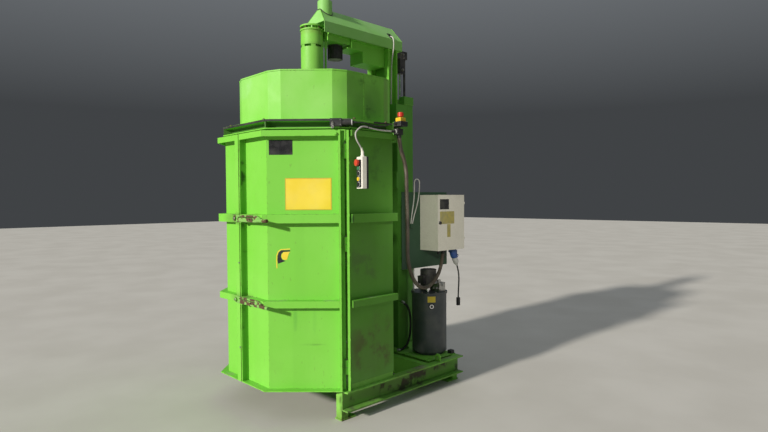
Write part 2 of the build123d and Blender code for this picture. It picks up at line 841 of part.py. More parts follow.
# Inner mast: two channel rails open outward, with a tie plate between them at the top
rail_front = mast_centre - rail_depth / 2
rail_rear = mast_centre + rail_depth / 2
with BuildPart() as inner_mast:
    for side in (-1, 1):
        web = rail_half_span - rail_width
        block((side * web, side * rail_half_span), (rail_front, rail_rear), (rail_bottom, arm_top))
        block((side * (web + rail_sheet), side * rail_half_span), (rail_front + rail_sheet, rail_rear - rail_sheet),
              (rail_bottom, arm_top), Mode.SUBTRACT)
    block((-web, web), (mast_centre, mast_centre + rail_sheet), (tie_plate_bottom, arm_top))
    block((-web, web), (mast_centre, mast_centre + rail_sheet), (rail_bottom, rail_bottom + rail_depth))
    block((web + rail_sheet, rail_half_span), (rail_front + rail_sheet, rail_rear - rail_sheet),
          (cable_shelf, cable_shelf + rail_sheet))
    rod(level(mast_gland_x, mast_gland_y, cable_shelf), rail_sheet, mast_gland_height)
inner_mast.part.label = "inner_mast"
export_step(inner_mast.part, "parts/inner_mast.step")

# Arm box: hollow beam under the roof, front casing with a tab, rear body and the box in front of the mast
cable_clamp_y = (chamber_y + cable_slot_y[0], chamber_y + cable_slot_y[1])
with BuildPart() as arm_box:
    arm_y = (chamber_y + roof_apex_y + roof_sheet, chamber_y + arm_rear_y - roof_sheet)
    block((-arm_box_half, arm_box_half), arm_y, (arm_top, arm_box_top))
    block((-arm_box_half + arm_box_wall, arm_box_half - arm_box_wall),
          (arm_y[0] + arm_box_wall, arm_y[1] - arm_box_wall),
          (arm_top + arm_box_wall, arm_box_top - arm_box_wall), Mode.SUBTRACT)
    block((-casing_half, casing_half), (column_y + column_r - arm_box_wall, chamber_y + casing_rear),
          (casing_bottom, arm_top))
    block((-casing_half, casing_half + casing_tab * 2),
          (chamber_y + casing_rear, chamber_y + casing_rear + casing_tab), (casing_bottom - casing_tab, arm_top))
    tab_x = (casing_half - casing_tab_width, casing_half + casing_tab * 2)
    tab_bottom = casing_bottom - casing_tab_drop
    block(tab_x, (chamber_y + casing_rear, chamber_y + casing_rear + casing_tab), (tab_bottom, casing_bottom))
    block(tab_x, (chamber_y + casing_rear - casing_foot, chamber_y + casing_rear), (tab_bottom, tab_bottom + casing_tab))
    block((-low_box_half, low_box_half), (chamber_y + casing_rear, rail_front), (arm_top - rear_body_depth, arm_top))
    block((-low_box_half, low_box_half), (chamber_y + low_box_front, rail_front), (arm_top - low_box_depth, arm_top))
    block(cable_clamp_x, cable_clamp_y, (arm_box_top, arm_box_top + cable_clamp_height))
    rod(level(guard_rod_x, chamber_y + guard_rod_y, guard_rod_bottom), guard_rod_r, casing_bottom - guard_rod_bottom)
    flange_room = housing_flange_bottom - running_clearance
    rod(level(0, column_y, casing_bottom), column_r + running_clearance, flange_room - casing_bottom, Mode.SUBTRACT)
    rod(level(0, column_y, flange_room), housing_flange_r + running_clearance, arm_box_top - flange_room,
        Mode.SUBTRACT)
arm_box.part.label = "arm_box"
export_step(arm_box.part, "parts/arm_box.step")

# Roof cover: gabled sheet along the arm, open below, its front sloped back, with a cowl and a cable slot
rise = (roof_ridge - roof_eave) / roof_half
roof_bodies = []
for inset in (0, roof_sheet):
    half = roof_half - inset
    ridge_z = roof_ridge - inset * sqrt(1 + rise**2)
    eave_z = ridge_z - half * rise
    roof_front = chamber_y + arm_front_y + inset
    apex_front = chamber_y + roof_apex_y + inset
    with BuildPart() as roof_body:
        prism(facing_front(0, chamber_y + arm_rear_y - inset, 0), [
            (-half, arm_top), (half, arm_top), (half, eave_z), (0, ridge_z), (-half, eave_z),
        ], arm_rear_y - arm_front_y - 2 * inset)
        prism(facing_right(-roof_half, 0, 0), [
            (roof_front, eave_z), (apex_front, ridge_z), (roof_front, ridge_z),
        ], 2 * roof_half, Mode.SUBTRACT)
    roof_bodies.append(roof_body.part)
with BuildPart() as roof_cover:
    add(roof_bodies[0])
    add(roof_bodies[1], mode=Mode.SUBTRACT)
    block((roof_sheet - roof_half, roof_half - roof_sheet),
          (chamber_y + arm_front_y, chamber_y + arm_front_y + roof_sheet), (arm_top, roof_eave), Mode.SUBTRACT)
    block(cable_slot_x, cable_clamp_y, [roof_eave + height for height in cable_slot_rise], Mode.SUBTRACT)
    rod(level(0, chamber_y + cowl_y, arm_box_top), cowl_r, cowl_top - arm_box_top)
    rod(level(0, chamber_y + cowl_y, cowl_top), cowl_cap_r, cowl_cap_height)
roof_cover.part.label = "roof_cover"
export_step(roof_cover.part, "parts/roof_cover.step")

# Arm motor: drive motor hanging below the casing, ribbed round its body
with BuildPart() as arm_motor:
    motor_plane = level(0, chamber_y + motor_y, casing_bottom - motor_length)
    rod(motor_plane, motor_r - motor_fin, motor_length)
    rod(level(0, chamber_y + motor_y, casing_bottom - motor_flange), motor_r, motor_flange)
    with BuildSketch(motor_plane) as ribs:
        with PolarLocations(motor_r - motor_fin, motor_fin_count):
            Rectangle(2 * motor_fin, motor_fin)
    extrude(ribs.sketch, amount=motor_length)
arm_motor.part.label = "arm_motor"
export_step(arm_motor.part, "parts/arm_motor.step")

# Column housing: fixed bearing housing of the drive column, with a bolted flange at its top
flange_gap = (housing_top - housing_flange_bottom - 2 * flange_plate)
nut_z = housing_flange_bottom + flange_plate
with BuildPart() as column_housing:
    rod(level(0, column_y, housing_bottom), column_r, housing_flange_bottom - housing_bottom)
    rod(level(0, column_y, housing_flange_bottom), housing_flange_r, flange_plate)
    rod(level(0, column_y, nut_z), column_r - 2 * flange_nut_r, flange_gap)
    rod(level(0, column_y, nut_z + flange_gap), housing_flange_r, flange_plate)
    rod(level(0, column_y, housing_bottom), journal_r + running_clearance, journal_length, Mode.SUBTRACT)
column_housing.part.label = "column_housing"
export_step(column_housing.part, "parts/column_housing.step")

with BuildPart() as flange_nuts:
    with BuildSketch(level(0, column_y, nut_z)) as nuts:
        with PolarLocations(column_r - flange_nut_r / 2, flange_nut_count):
            RegularPolygon(flange_nut_r, 6)
    extrude(nuts.sketch, amount=flange_gap)
flange_nuts.part.label = "flange_nuts"
export_step(flange_nuts.part, "parts/flange_nuts.step")

# Rotor column: turning tube with a notched collar and a journal above, a head block and the drum's axle below
column_top = housing_bottom - column_gap
notch_floor = column_top - notch_height
axle_z = column_bottom - head_height + head_size / 2
drum_start = head_size / 2 + drum_side_gap
drum_end = drum_start + drum_length
notch_width = 2 * column_r * sin(pi * notch_share / notch_count)
with BuildPart() as rotor_column:
    rod(level(0, column_y, column_bottom), column_r, column_top - column_bottom)
    rod(level(0, column_y, column_bottom), column_r - column_wall, notch_floor - column_plug - column_bottom,
        Mode.SUBTRACT)
    rod(level(0, column_y, notch_floor), column_r - column_wall, notch_height, Mode.SUBTRACT)
    with BuildSketch(level(0, column_y, notch_floor)) as notches:
        with PolarLocations(column_r - column_wall / 2, notch_count):
            Rectangle(2 * column_wall, notch_width)
    extrude(notches.sketch, amount=notch_height, mode=Mode.SUBTRACT)
    rod(level(0, column_y, notch_floor), journal_r, housing_bottom + journal_length - column_gap - notch_floor)
    block((-head_size / 2, head_size / 2), (column_y - head_size / 2, column_y + head_size / 2),
          (column_bottom - head_height, column_bottom))
    rod(facing_right(head_size / 2, column_y, axle_z), axle_r, drum_end + drum_side_gap - head_size / 2)
    rod(facing_right(drum_end + drum_side_gap, column_y, axle_z), axle_r + axle_nose, axle_nose)
rotor_column.part.label = "rotor_column"
export_step(rotor_column.part, "parts/rotor_column.step")

# Packer drum: closed drum on the axle, with rows of teeth set half a pitch apart
row_pitch = drum_length / drum_rows
with BuildPart() as packer_drum:
    rod(facing_right(drum_start, column_y, axle_z), drum_r, drum_length)
    for row in range(drum_rows):
        tooth_x = drum_start + (row + 0.5) * row_pitch - drum_tooth_width / 2
        for tooth in range(drum_teeth):
            lean = 2 * pi * (tooth + row % 2 / 2) / drum_teeth
            half_root = drum_tooth / drum_r
            prism(facing_right(tooth_x, column_y, axle_z), [
                (drum_r * cos(half_root) * cos(lean - half_root), drum_r * cos(half_root) * sin(lean - half_root)),
                ((drum_r + drum_tooth) * cos(lean), (drum_r + drum_tooth) * sin(lean)),
                (drum_r * cos(half_root) * cos(lean + half_root), drum_r * cos(half_root) * sin(lean + half_root)),
            ], drum_tooth_width)
    rod(facing_right(drum_start, column_y, axle_z), axle_r + running_clearance, drum_length, Mode.SUBTRACT)
packer_drum.part.label = "packer_drum"
export_step(packer_drum.part, "parts/packer_drum.step")

# Guide posts: two tubes behind the mast, with welded head boxes
guide_centre = chamber_y + guide_y
with BuildPart() as guide_posts:
    for side in (-1, 1):
        near = side * (guide_x - guide_post_width / 2)
        far = side * (guide_x + guide_post_width / 2)
        block((near, far), (guide_centre - guide_post_depth / 2, guide_centre + guide_post_depth / 2),
              (deck_top, guide_post_top))
        block((near + side * guide_post_wall, far - side * guide_post_wall),
              (guide_centre - guide_post_depth / 2 + guide_post_wall,
               guide_centre + guide_post_depth / 2 - guide_post_wall),
              (deck_top, guide_post_top), Mode.SUBTRACT)
        block((side * (guide_x - guide_cap_width / 2), side * (guide_x + guide_cap_width / 2)),
              (guide_centre - guide_cap_depth / 2, guide_centre + guide_cap_depth / 2),
              (guide_post_top - guide_cap_hold, guide_cap_top))
guide_posts.part.label = "guide_posts"
export_step(guide_posts.part, "parts/guide_posts.step")

# Lifting cylinder: barrel on a foot between the guide posts, with its rod and piston, and the clevis above
barrel_foot_half = guide_x - guide_post_width / 2 - seat_gap
with BuildPart() as lift_cylinder:
    block((-barrel_foot_half, barrel_foot_half), (guide_centre - barrel_foot_half, guide_centre + barrel_foot_half),
          (deck_top, deck_top + cylinder_foot))
    rod(level(0, guide_centre, deck_top), cylinder_r, cylinder_top - deck_top)
    bore_bottom = deck_top + cylinder_foot
    rod(level(0, guide_centre, bore_bottom), cylinder_bore_r, cylinder_top - gland_thickness - bore_bottom,
        Mode.SUBTRACT)
    rod(level(0, guide_centre, bore_bottom), rod_r + running_clearance, cylinder_top - bore_bottom, Mode.SUBTRACT)
lift_cylinder.part.label = "lift_cylinder"
export_step(lift_cylinder.part, "parts/lift_cylinder.step")

with BuildPart() as piston_rod:
    rod(level(0, guide_centre, rod_foot), rod_r, rod_top - rod_foot)
    rod(level(0, guide_centre, rod_foot), cylinder_bore_r - running_clearance, piston_length)
piston_rod.part.label = "piston_rod"
export_step(piston_rod.part, "parts/piston_rod.step")

half_clevis = clevis_size / 2
arm_bottom = clevis_top - clevis_arm_height
side_bar_centre = guide_centre + cylinder_r + side_bar_gap + side_bar_r
with BuildPart() as rod_clevis:
    block((-half_clevis, half_clevis), (guide_centre - half_clevis, guide_centre + half_clevis),
          (clevis_bottom, clevis_top))
    block((-half_clevis, half_clevis), (chamber_y + arm_rear_y, side_bar_centre + side_bar_r), (arm_bottom, clevis_top))
    rod(level(0, side_bar_centre, side_bar_bottom), side_bar_r, arm_bottom - side_bar_bottom)
    rod(level(0, guide_centre, clevis_bottom), rod_r + running_clearance, rod_top - clevis_bottom, Mode.SUBTRACT)
rod_clevis.part.label = "rod_clevis"
export_step(rod_clevis.part, "parts/rod_clevis.step")

# Hydraulic tank with its foot ring and sight glass ring, and what stands on its lid
tank_centre = chamber_y + tank_y
tank_bottom = deck_top + tank_foot
tank_top = tank_bottom + tank_height
lid_top = tank_top + tank_lid_thickness
sight_turn = radians(sight_glass_turn)
with BuildPart() as oil_tank:
    rod(level(tank_x, tank_centre, deck_top), tank_r - tank_foot, tank_foot)
    rod(level(tank_x, tank_centre, tank_bottom), tank_r, tank_height)
    sight_reach = tank_r - tank_wall
    rod(Plane(origin=(tank_x + sight_reach * cos(sight_turn), tank_centre + sight_reach * sin(sight_turn),
                      tank_bottom + sight_glass_height), z_dir=(cos(sight_turn), sin(sight_turn), 0)),
        sight_glass_r, tank_wall + sight_glass_proud)
oil_tank.part.label = "oil_tank"
export_step(oil_tank.part, "parts/oil_tank.step")

with BuildPart() as tank_lid:
    rod(level(tank_x, tank_centre, tank_top), tank_r + tank_lid_over, tank_lid_thickness)
tank_lid.part.label = "tank_lid"
export_step(tank_lid.part, "parts/tank_lid.step")

with BuildPart() as filler_cap:
    rod(level(tank_x + filler_x, tank_centre + filler_y, lid_top), filler_r - tank_wall, filler_height)
    rod(level(tank_x + filler_x, tank_centre + filler_y, lid_top + filler_height / 2), filler_r, filler_height / 2)
filler_cap.part.label = "filler_cap"
export_step(filler_cap.part, "parts/filler_cap.step")

with BuildPart() as pump_motor:
    pump_plane = level(tank_x + pump_motor_x, tank_centre + pump_motor_y, lid_top)
    rod(pump_plane, pump_motor_r - motor_fin, pump_motor_length)
    rod(pump_plane, pump_motor_r, motor_flange)
    with BuildSketch(pump_plane) as fins:
        with PolarLocations(pump_motor_r - motor_fin, motor_fin_count):
            Rectangle(2 * motor_fin, motor_fin)
    extrude(fins.sketch, amount=pump_motor_length - fan_cowl)
    rod(pump_plane.offset(pump_motor_length - fan_cowl), pump_motor_r, fan_cowl)
pump_motor.part.label = "pump_motor"
export_step(pump_motor.part, "parts/pump_motor.step")

with BuildPart() as valve_block:
    half_valve = valve_block_size / 2
    valve_x = tank_x + valve_block_x
    valve_centre = tank_centre + valve_block_y
    block((valve_x - half_valve, valve_x + half_valve), (valve_centre - half_valve, valve_centre + half_valve),
          (lid_top, lid_top + valve_block_height))
    rod(level(valve_x, valve_centre, lid_top + valve_block_height), filler_r, filler_height / 2)
valve_block.part.label = "valve_block"
export_step(valve_block.part, "parts/valve_block.step")

# Mounting plate beside the mast, with the block that holds both ends of the cable loop
loop_block_x = (plate_x, plate_x + loop_block_depth)
with BuildPart() as mounting_plate:
    block((plate_inner_x, plate_x), (chamber_y + plate_front, chamber_y + plate_rear), (plate_bottom, plate_top))
    block(loop_block_x, (chamber_y + loop_block_y[0], chamber_y + loop_block_y[1]), loop_block_z)
mounting_plate.part.label = "mounting_plate"
export_step(mounting_plate.part, "parts/mounting_plate.step")

# Control cabinet: open-fronted body, door on two lift-off hinges at the rear edge, quarter-turn lock
cabinet_front = chamber_y + cabinet_y
cabinet_rear = cabinet_front + cabinet_width
cabinet_face = plate_x + cabinet_depth
cabinet_top = cabinet_bottom + cabinet_height
pin_x = cabinet_face + cabinet_gap / 2
pin_y = cabinet_rear + cabinet_knuckle_r + seat_gap
knuckle_heights = (cabinet_bottom + cabinet_hinge_inset, cabinet_top - cabinet_hinge_inset)
half_knuckle = cabinet_knuckle / 2
with BuildPart() as cabinet_body:
    block((plate_x, cabinet_face), (cabinet_front, cabinet_rear), (cabinet_bottom, cabinet_top))
    block((plate_x + cabinet_sheet, cabinet_face), (cabinet_front + cabinet_sheet, cabinet_rear - cabinet_sheet),
          (cabinet_bottom + cabinet_sheet, cabinet_top - cabinet_sheet), Mode.SUBTRACT)
    for height in knuckle_heights:
        rod(level(pin_x, pin_y, height - half_knuckle), cabinet_knuckle_r, half_knuckle)
        rod(level(pin_x, pin_y, height), cabinet_pin_r, half_knuckle - 2 * axial_clearance)
        block((pin_x - cabinet_leaf, pin_x), (cabinet_rear, pin_y), (height - half_knuckle, height))
cabinet_body.part.label = "cabinet_body"
export_step(cabinet_body.part, "parts/cabinet_body.step")

door_back = cabinet_face + cabinet_gap
door_front = door_back + cabinet_door_depth
lock_y = cabinet_front + lock_inset
lock_z = (cabinet_bottom + cabinet_top) / 2
with BuildPart() as cabinet_door:
    block((door_back, door_front), (cabinet_front, cabinet_rear), (cabinet_bottom, cabinet_top))
    block((door_back, door_front - cabinet_sheet), (cabinet_front + cabinet_sheet, cabinet_rear - cabinet_sheet),
          (cabinet_bottom + cabinet_sheet, cabinet_top - cabinet_sheet), Mode.SUBTRACT)
    for height in knuckle_heights:
        low = height + axial_clearance
        rod(level(pin_x, pin_y, low), cabinet_knuckle_r, half_knuckle)
        block((pin_x, door_front), (cabinet_rear, pin_y), (low, low + half_knuckle))
        rod(level(pin_x, pin_y, low), cabinet_pin_r + running_clearance, half_knuckle, Mode.SUBTRACT)
    rod(facing_right(door_back, lock_y, lock_z), lock_r + running_clearance, cabinet_door_depth, Mode.SUBTRACT)
cabinet_door.part.label = "cabinet_door"
export_step(cabinet_door.part, "parts/cabinet_door.step")

with BuildPart() as cabinet_lock:
    lock_back = door_front + lock_proud - lock_length
    rod(facing_right(lock_back, lock_y, lock_z), lock_r, lock_length)
    block((door_front + lock_proud / 2, door_front + lock_proud), (lock_y - key_slot, lock_y + key_slot),
          (lock_z - lock_r / 2, lock_z + lock_r / 2), Mode.SUBTRACT)
cabinet_lock.part.label = "cabinet_lock"
export_step(cabinet_lock.part, "parts/cabinet_lock.step")

# Cable glands, inlet socket and plug under the cabinet, and the connector on the free end of its cord
with BuildPart() as cabinet_glands:
    for gland_y, radius in ((small_gland_y, gland_r), (conduit_gland_y, conduit_gland_r)):
        hex_head(level(gland_x, chamber_y + gland_y, cabinet_bottom - gland_height / 2), radius * gland_hex_share,
                 gland_height / 2)
        rod(level(gland_x, chamber_y + gland_y, cabinet_bottom - gland_height), radius, gland_height)
cabinet_glands.part.label = "cabinet_glands"
export_step(cabinet_glands.part, "parts/cabinet_glands.step")

tilt = Vector(0, sin(radians(plug_tilt)), -cos(radians(plug_tilt)))
socket_root = Vector(socket_x, chamber_y + socket_y, cabinet_bottom - socket_base)
with BuildPart() as inlet_socket:
    rod(level(socket_x, chamber_y + socket_y, cabinet_bottom - socket_disc), socket_r, socket_disc)
    rod(Plane(origin=socket_root, z_dir=tilt), socket_r - tank_wall, socket_length)
inlet_socket.part.label = "inlet_socket"
export_step(inlet_socket.part, "parts/inlet_socket.step")

with BuildPart() as inlet_plug:
    plug_root = socket_root + tilt * socket_length
    rod(Plane(origin=plug_root, z_dir=tilt), plug_r, plug_length - plug_relief)
    with BuildSketch(Plane(origin=plug_root + tilt * (plug_length - plug_relief), z_dir=tilt)) as relief:
        Circle(plug_r - tank_wall)
    extrude(relief.sketch, amount=plug_relief, taper=relief_taper)
inlet_plug.part.label = "inlet_plug"
export_step(inlet_plug.part, "parts/inlet_plug.step")

with BuildPart() as power_connector:
    connector_top = level(*connector_point)
    rod(connector_top.offset(-connector_length), connector_r, connector_length)
power_connector.part.label = "power_connector"
export_step(power_connector.part, "parts/power_connector.step")

# Emergency stop: box on the ring's bracket with a raised cover and a mushroom button
stop_x = (stop_back + bracket_sheet, stop_back + bracket_sheet + stop_depth)
stop_centre_x = sum(stop_x) / 2
stop_cover_bottom = stop_bottom + stop_base_height
stop_cover_top = stop_cover_bottom + stop_cover_height
with BuildPart() as stop_box:
    block(stop_x, stop_y_span, (stop_bottom, stop_cover_bottom))
    fillet(stop_box.edges().filter_by(Axis.Z), stop_rounding)
stop_box.part.label = "stop_box"
export_step(stop_box.part, "parts/stop_box.step")

with BuildPart() as stop_cover:
    block((stop_x[0] + stop_cover_inset, stop_x[1] - stop_cover_inset),
          (stop_y_span[0] + stop_cover_inset, stop_y_span[1] - stop_cover_inset),
          (stop_cover_bottom, stop_cover_top))
    fillet(stop_cover.edges().filter_by(Axis.Z), stop_rounding)
    fillet(stop_cover.faces().sort_by(Axis.Z)[-1].edges(), stop_rounding)
    rod(level(stop_centre_x, chamber_y + stop_y, stop_cover_bottom), stop_stem_r + running_clearance,
        stop_cover_height, Mode.SUBTRACT)
stop_cover.part.label = "stop_cover"
export_step(stop_cover.part, "parts/stop_cover.step")

with BuildPart() as stop_button:
    stem_bottom = stop_cover_bottom + stop_travel + axial_clearance
    head_bottom = stop_cover_top + stop_travel + stop_rounding
    rod(level(stop_centre_x, chamber_y + stop_y, stem_bottom), stop_stem_r, head_bottom - stem_bottom)
    rod(level(stop_centre_x, chamber_y + stop_y, head_bottom), stop_button_r, stop_button_height)
    fillet(stop_button.faces().sort_by(Axis.Z)[-1].edges(), stop_rounding)
stop_button.part.label = "stop_button"
export_step(stop_button.part, "parts/stop_button.step")

# Junction box below it, with the pendant cable's gland on its front
junction_centre = chamber_y + junction_y
with BuildPart() as junction_box:
    block((stop_x[0], stop_x[0] + junction_depth),
          (junction_centre - junction_width / 2, junction_centre + junction_width / 2),
          (junction_z, junction_z + junction_height))
    rod(facing_front(stop_x[0] + junction_gland_x, junction_centre - junction_width / 2,
                     junction_z + junction_height / 2), junction_gland_r, junction_gland_length)
junction_box.part.label = "junction_box"
export_step(junction_box.part, "parts/junction_box.step")

# Pendant control: two-part shell, a red mushroom above four push buttons, gland on top
turn = radians(pendant_turn)
pendant_centre = Vector(pendant_x, chamber_y + pendant_y, pendant_bottom)
across = Vector(cos(turn), -sin(turn), 0)
pendant_normal = Vector(-sin(turn), -cos(turn), 0)
pendant_base = Plane(origin=pendant_centre, x_dir=across, z_dir=(0, 0, 1))
face_depth = pendant_depth / 2
button_heights = [pendant_first + number * pendant_pitch for number in range(pendant_count)]


def pendant_face(height, out):
    """Plane on the pendant's face at a height above its bottom, moved outward."""
    origin = pendant_centre + pendant_normal * (face_depth + out) + Vector(0, 0, height)
    return Plane(origin=origin, x_dir=across, z_dir=pendant_normal)


with BuildPart() as pendant_shell:
    with BuildSketch(pendant_base) as shell_plan:
        with Locations((0, -pendant_back / 2)):
            Rectangle(pendant_width, pendant_depth - pendant_back)
        fillet(shell_plan.vertices().group_by(Axis.Y)[0], pendant_corner)
    extrude(shell_plan.sketch, amount=pendant_height)
    fillet(pendant_shell.faces().sort_by(Axis.Z)[-1].edges().sort_by(Axis.Y)[0], pendant_corner / 2)
    for height in button_heights[:-1]:
        rod(pendant_face(height, -pendant_stem_depth - pendant_travel), pendant_button_r + running_clearance,
            pendant_stem_depth + pendant_travel, Mode.SUBTRACT)
    rod(pendant_face(button_heights[-1], -pendant_stem_depth - pendant_travel), pendant_stem_r + running_clearance,
        pendant_stem_depth + pendant_travel, Mode.SUBTRACT)
    gland_hex_r = pendant_gland_r * pendant_gland_hex_share
    hex_head(pendant_base.offset(pendant_height), gland_hex_r, pendant_gland_height / 3)
    rod(pendant_base.offset(pendant_height), pendant_gland_r, pendant_gland_height)
pendant_shell.part.label = "pendant_shell"
export_step(pendant_shell.part, "parts/pendant_shell.step")

with BuildPart() as pendant_back_shell:
    with BuildSketch(pendant_base) as back_plan:
        with Locations((0, (pendant_depth - pendant_back) / 2)):
            Rectangle(pendant_width, pendant_back)
        fillet(back_plan.vertices().group_by(Axis.Y)[-1], pendant_corner)
    extrude(back_plan.sketch, amount=pendant_height)
pendant_back_shell.part.label = "pendant_back"
export_step(pendant_back_shell.part, "parts/pendant_back.step")

actuators = ["lowest_button", "lower_button", "upper_button", "highest_button"]
for name, height in zip(actuators, button_heights):
    with BuildPart() as actuator:
        rod(pendant_face(height, axial_clearance - pendant_stem_depth), pendant_button_r,
            pendant_stem_depth + pendant_button_proud)
    actuator.part.label = name
    export_step(actuator.part, f"parts/{name}.step")

with BuildPart() as pendant_stop:
    rod(pendant_face(button_heights[-1], axial_clearance - pendant_stem_depth), pendant_stem_r,
        pendant_stem_depth + pendant_mushroom_proud - pendant_mushroom_height)
    rod(pendant_face(button_heights[-1], pendant_mushroom_proud - pendant_mushroom_height + axial_clearance),
        pendant_mushroom_r, pendant_mushroom_height)
pendant_stop.part.label = "pendant_stop"
export_step(pendant_stop.part, "parts/pendant_stop.step")

# Door switch on the ring's edge, with a roller lever above the door's strike
with BuildPart() as switch_body:
    with BuildSketch(facing_diagonal(switch_along, ring_out, switch_z + switch_height / 2)) as switch_back:
        Rectangle(switch_length, switch_height)
    extrude(switch_back.sketch, amount=switch_depth)
    gland_root_x, gland_root_y = diagonal_point(switch_along - switch_length / 2, ring_out + switch_depth / 2, 1)
    switch_gland_plane = Plane(origin=(gland_root_x, chamber_y + gland_root_y, switch_z + switch_height / 2),
                               z_dir=(diagonal, diagonal, 0))
    rod(switch_gland_plane, switch_gland_r, switch_gland_length)
    rod(facing_diagonal(lever_along, ring_out + switch_depth - lever_stem_depth, lever_pivot_z),
        lever_stem_r + running_clearance, lever_stem_depth, Mode.SUBTRACT)
switch_body.part.label = "switch_body"
export_step(switch_body.part, "parts/switch_body.step")

lever_out = ring_out + switch_depth + 2 * axial_clearance
with BuildPart() as switch_lever:
    stem_root = ring_out + switch_depth - lever_stem_depth + axial_clearance
    rod(facing_diagonal(lever_along, stem_root, lever_pivot_z), lever_stem_r, lever_out - stem_root)
    with BuildSketch(facing_diagonal(lever_along, lever_out, lever_pivot_z - lever_length / 2)) as lever_plan:
        SlotCenterToCenter(lever_length, 2 * lever_stem_r, rotation=90)
    extrude(lever_plan.sketch, amount=lever_thickness)
    rod(facing_diagonal(lever_along, lever_out + lever_thickness, lever_pivot_z - lever_length), roller_r,
        roller_width)
switch_lever.part.label = "switch_lever"
export_step(switch_lever.part, "parts/switch_lever.step")

# Cords, each along its own route
routes = {
    "pendant_cable": (4.5, [
        (655.0, -199.0, 1712.0), (655.8, -262.0, 1708.5), (655.5, -335.0, 1709.5), (654.5, -403.0, 1717.0),
        (654.0, -455.0, 1723.0), (655.0, -503.0, 1689.0), (656.0, -511.0, 1665.0), (656.0, -499.0, 1634.0),
        (655.3, -466.0, 1598.0), (655.0, -455.0, 1573.0)]),
    "switch_cable": (3.5, [
        (621.77, -500.79, 1742.0), (641.0, -481.5, 1742.0), (656.0, -456.0, 1741.0), (660.0, -422.0, 1738.0),
        (655.0, -380.0, 1733.0), (647.0, -330.0, 1732.0), (646.0, -275.0, 1737.0), (653.0, -232.0, 1750.0),
        (664.0, -205.0, 1757.0), (667.0, -186.0, 1758.0)]),
    "conduit": (13.0, [
        (657.0, -155.0, 1694.0), (655.0, -146.0, 1622.0), (640.0, -100.0, 1560.0), (620.0, -53.0, 1480.0),
        (611.0, -42.0, 1370.0), (600.0, -26.0, 1220.0), (583.0, -5.0, 1070.0), (570.0, 6.0, 900.0),
        (548.0, 70.0, 790.0), (520.0, 150.0, 722.0), (492.0, 240.0, 685.0), (465.0, 330.0, 682.0),
        (443.0, 412.0, 706.0), (430.0, 480.0, 752.0), (425.0, 522.0, 826.0), (425.0, 540.0, 906.0)]),
    "loop_cable": (4.0, [
        (331.0, 296.0, 1125.0), (333.0, 298.0, 1165.0), (336.0, 310.0, 1230.0), (340.0, 321.0, 1310.0),
        (341.0, 323.0, 1385.0), (342.0, 322.0, 1429.2), (342.5, 337.8, 1445.0), (343.0, 360.2, 1445.0),
        (343.5, 376.0, 1429.2), (343.0, 375.0, 1385.0), (341.0, 368.0, 1310.0), (336.0, 348.0, 1235.0),
        (332.0, 322.0, 1168.0), (331.0, 312.0, 1125.0)]),
    "tank_hose": (8.0, [
        (219.0, 312.0, 548.0), (246.0, 322.0, 536.0), (268.0, 336.0, 500.0), (276.0, 345.0, 440.0),
        (276.0, 347.0, 370.0), (272.0, 342.0, 300.0), (264.0, 326.0, 243.0), (250.0, 306.0, 212.0),
        (234.0, 286.0, 198.0), (210.0, 270.0, 195.0)]),
    "power_cord": (5.5, [
        (420.0, 707.41, 799.62), (420.0, 716.7, 779.7), (421.0, 725.0, 748.0), (423.0, 729.0, 704.0),
        (421.0, 729.0, 650.0), (418.5, 727.0, 598.0), (418.0, 726.0, 550.0)]),
    "mast_cable": (4.5, [
        (50.0, 342.0, 2510.0), (78.0, 340.0, 2516.0), (104.0, 337.0, 2512.0), (126.0, 334.0, 2494.0),
        (132.0, 333.0, 2462.0), (131.0, 334.0, 2428.0), (120.0, 337.0, 2388.0), (105.0, 340.0, 2340.0),
        (97.0, 342.0, 2280.0), (94.5, 341.0, 2160.0), (93.0, 340.5, 2040.0), (92.5, 340.0, 1915.0)]),
}
for name, (radius, route) in routes.items():
    cord = cord_along(route, radius, name)
    cord.part.label = name
    export_step(cord.part, f"parts/{name}.step")
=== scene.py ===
"""Looks of the press container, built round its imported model."""
import json
import math

import bmesh
import bpy
from mathutils import Matrix, Vector


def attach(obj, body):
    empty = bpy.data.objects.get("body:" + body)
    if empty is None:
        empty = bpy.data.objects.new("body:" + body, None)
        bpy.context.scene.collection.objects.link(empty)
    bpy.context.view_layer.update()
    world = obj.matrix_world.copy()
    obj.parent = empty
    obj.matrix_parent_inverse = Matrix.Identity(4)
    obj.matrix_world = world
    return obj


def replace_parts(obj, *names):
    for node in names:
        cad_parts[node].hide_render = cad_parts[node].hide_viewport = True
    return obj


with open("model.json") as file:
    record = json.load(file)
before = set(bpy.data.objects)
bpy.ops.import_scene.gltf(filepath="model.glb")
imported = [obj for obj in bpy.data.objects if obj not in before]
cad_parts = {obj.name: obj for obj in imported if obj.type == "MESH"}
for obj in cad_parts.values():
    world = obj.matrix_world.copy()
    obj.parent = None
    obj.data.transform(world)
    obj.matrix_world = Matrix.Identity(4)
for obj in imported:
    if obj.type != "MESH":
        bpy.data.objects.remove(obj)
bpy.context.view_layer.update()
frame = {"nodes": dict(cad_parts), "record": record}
NODES = frame["nodes"]

# Camera, worked out from the photograph's lines, and the light
IMAGE_WIDTH = 768
FOCAL_PX = 546.8
CAMERA_PLACE = Vector((3.0066, -2.5656, 1.2936))
CAMERA_YAW = math.radians(45.893)
CAMERA_PITCH = math.radians(-1.643)
CAMERA_ROLL = math.radians(-0.375)
SUN_SIDE = math.radians(1)
SUN_HEIGHT = math.radians(20)
SUN_STRENGTH = 4.1
SUN_SIZE = math.radians(3)
SKY_STRENGTH = 0.06
SKY_TOP_STRENGTH = 0.48
FILL_PLACE = Vector((2.9, -2.3, 2.1))
FILL_TARGET = Vector((0.41, 0.5, 1.1))
FILL_POWER = 210
FILL_CONE = math.radians(14)

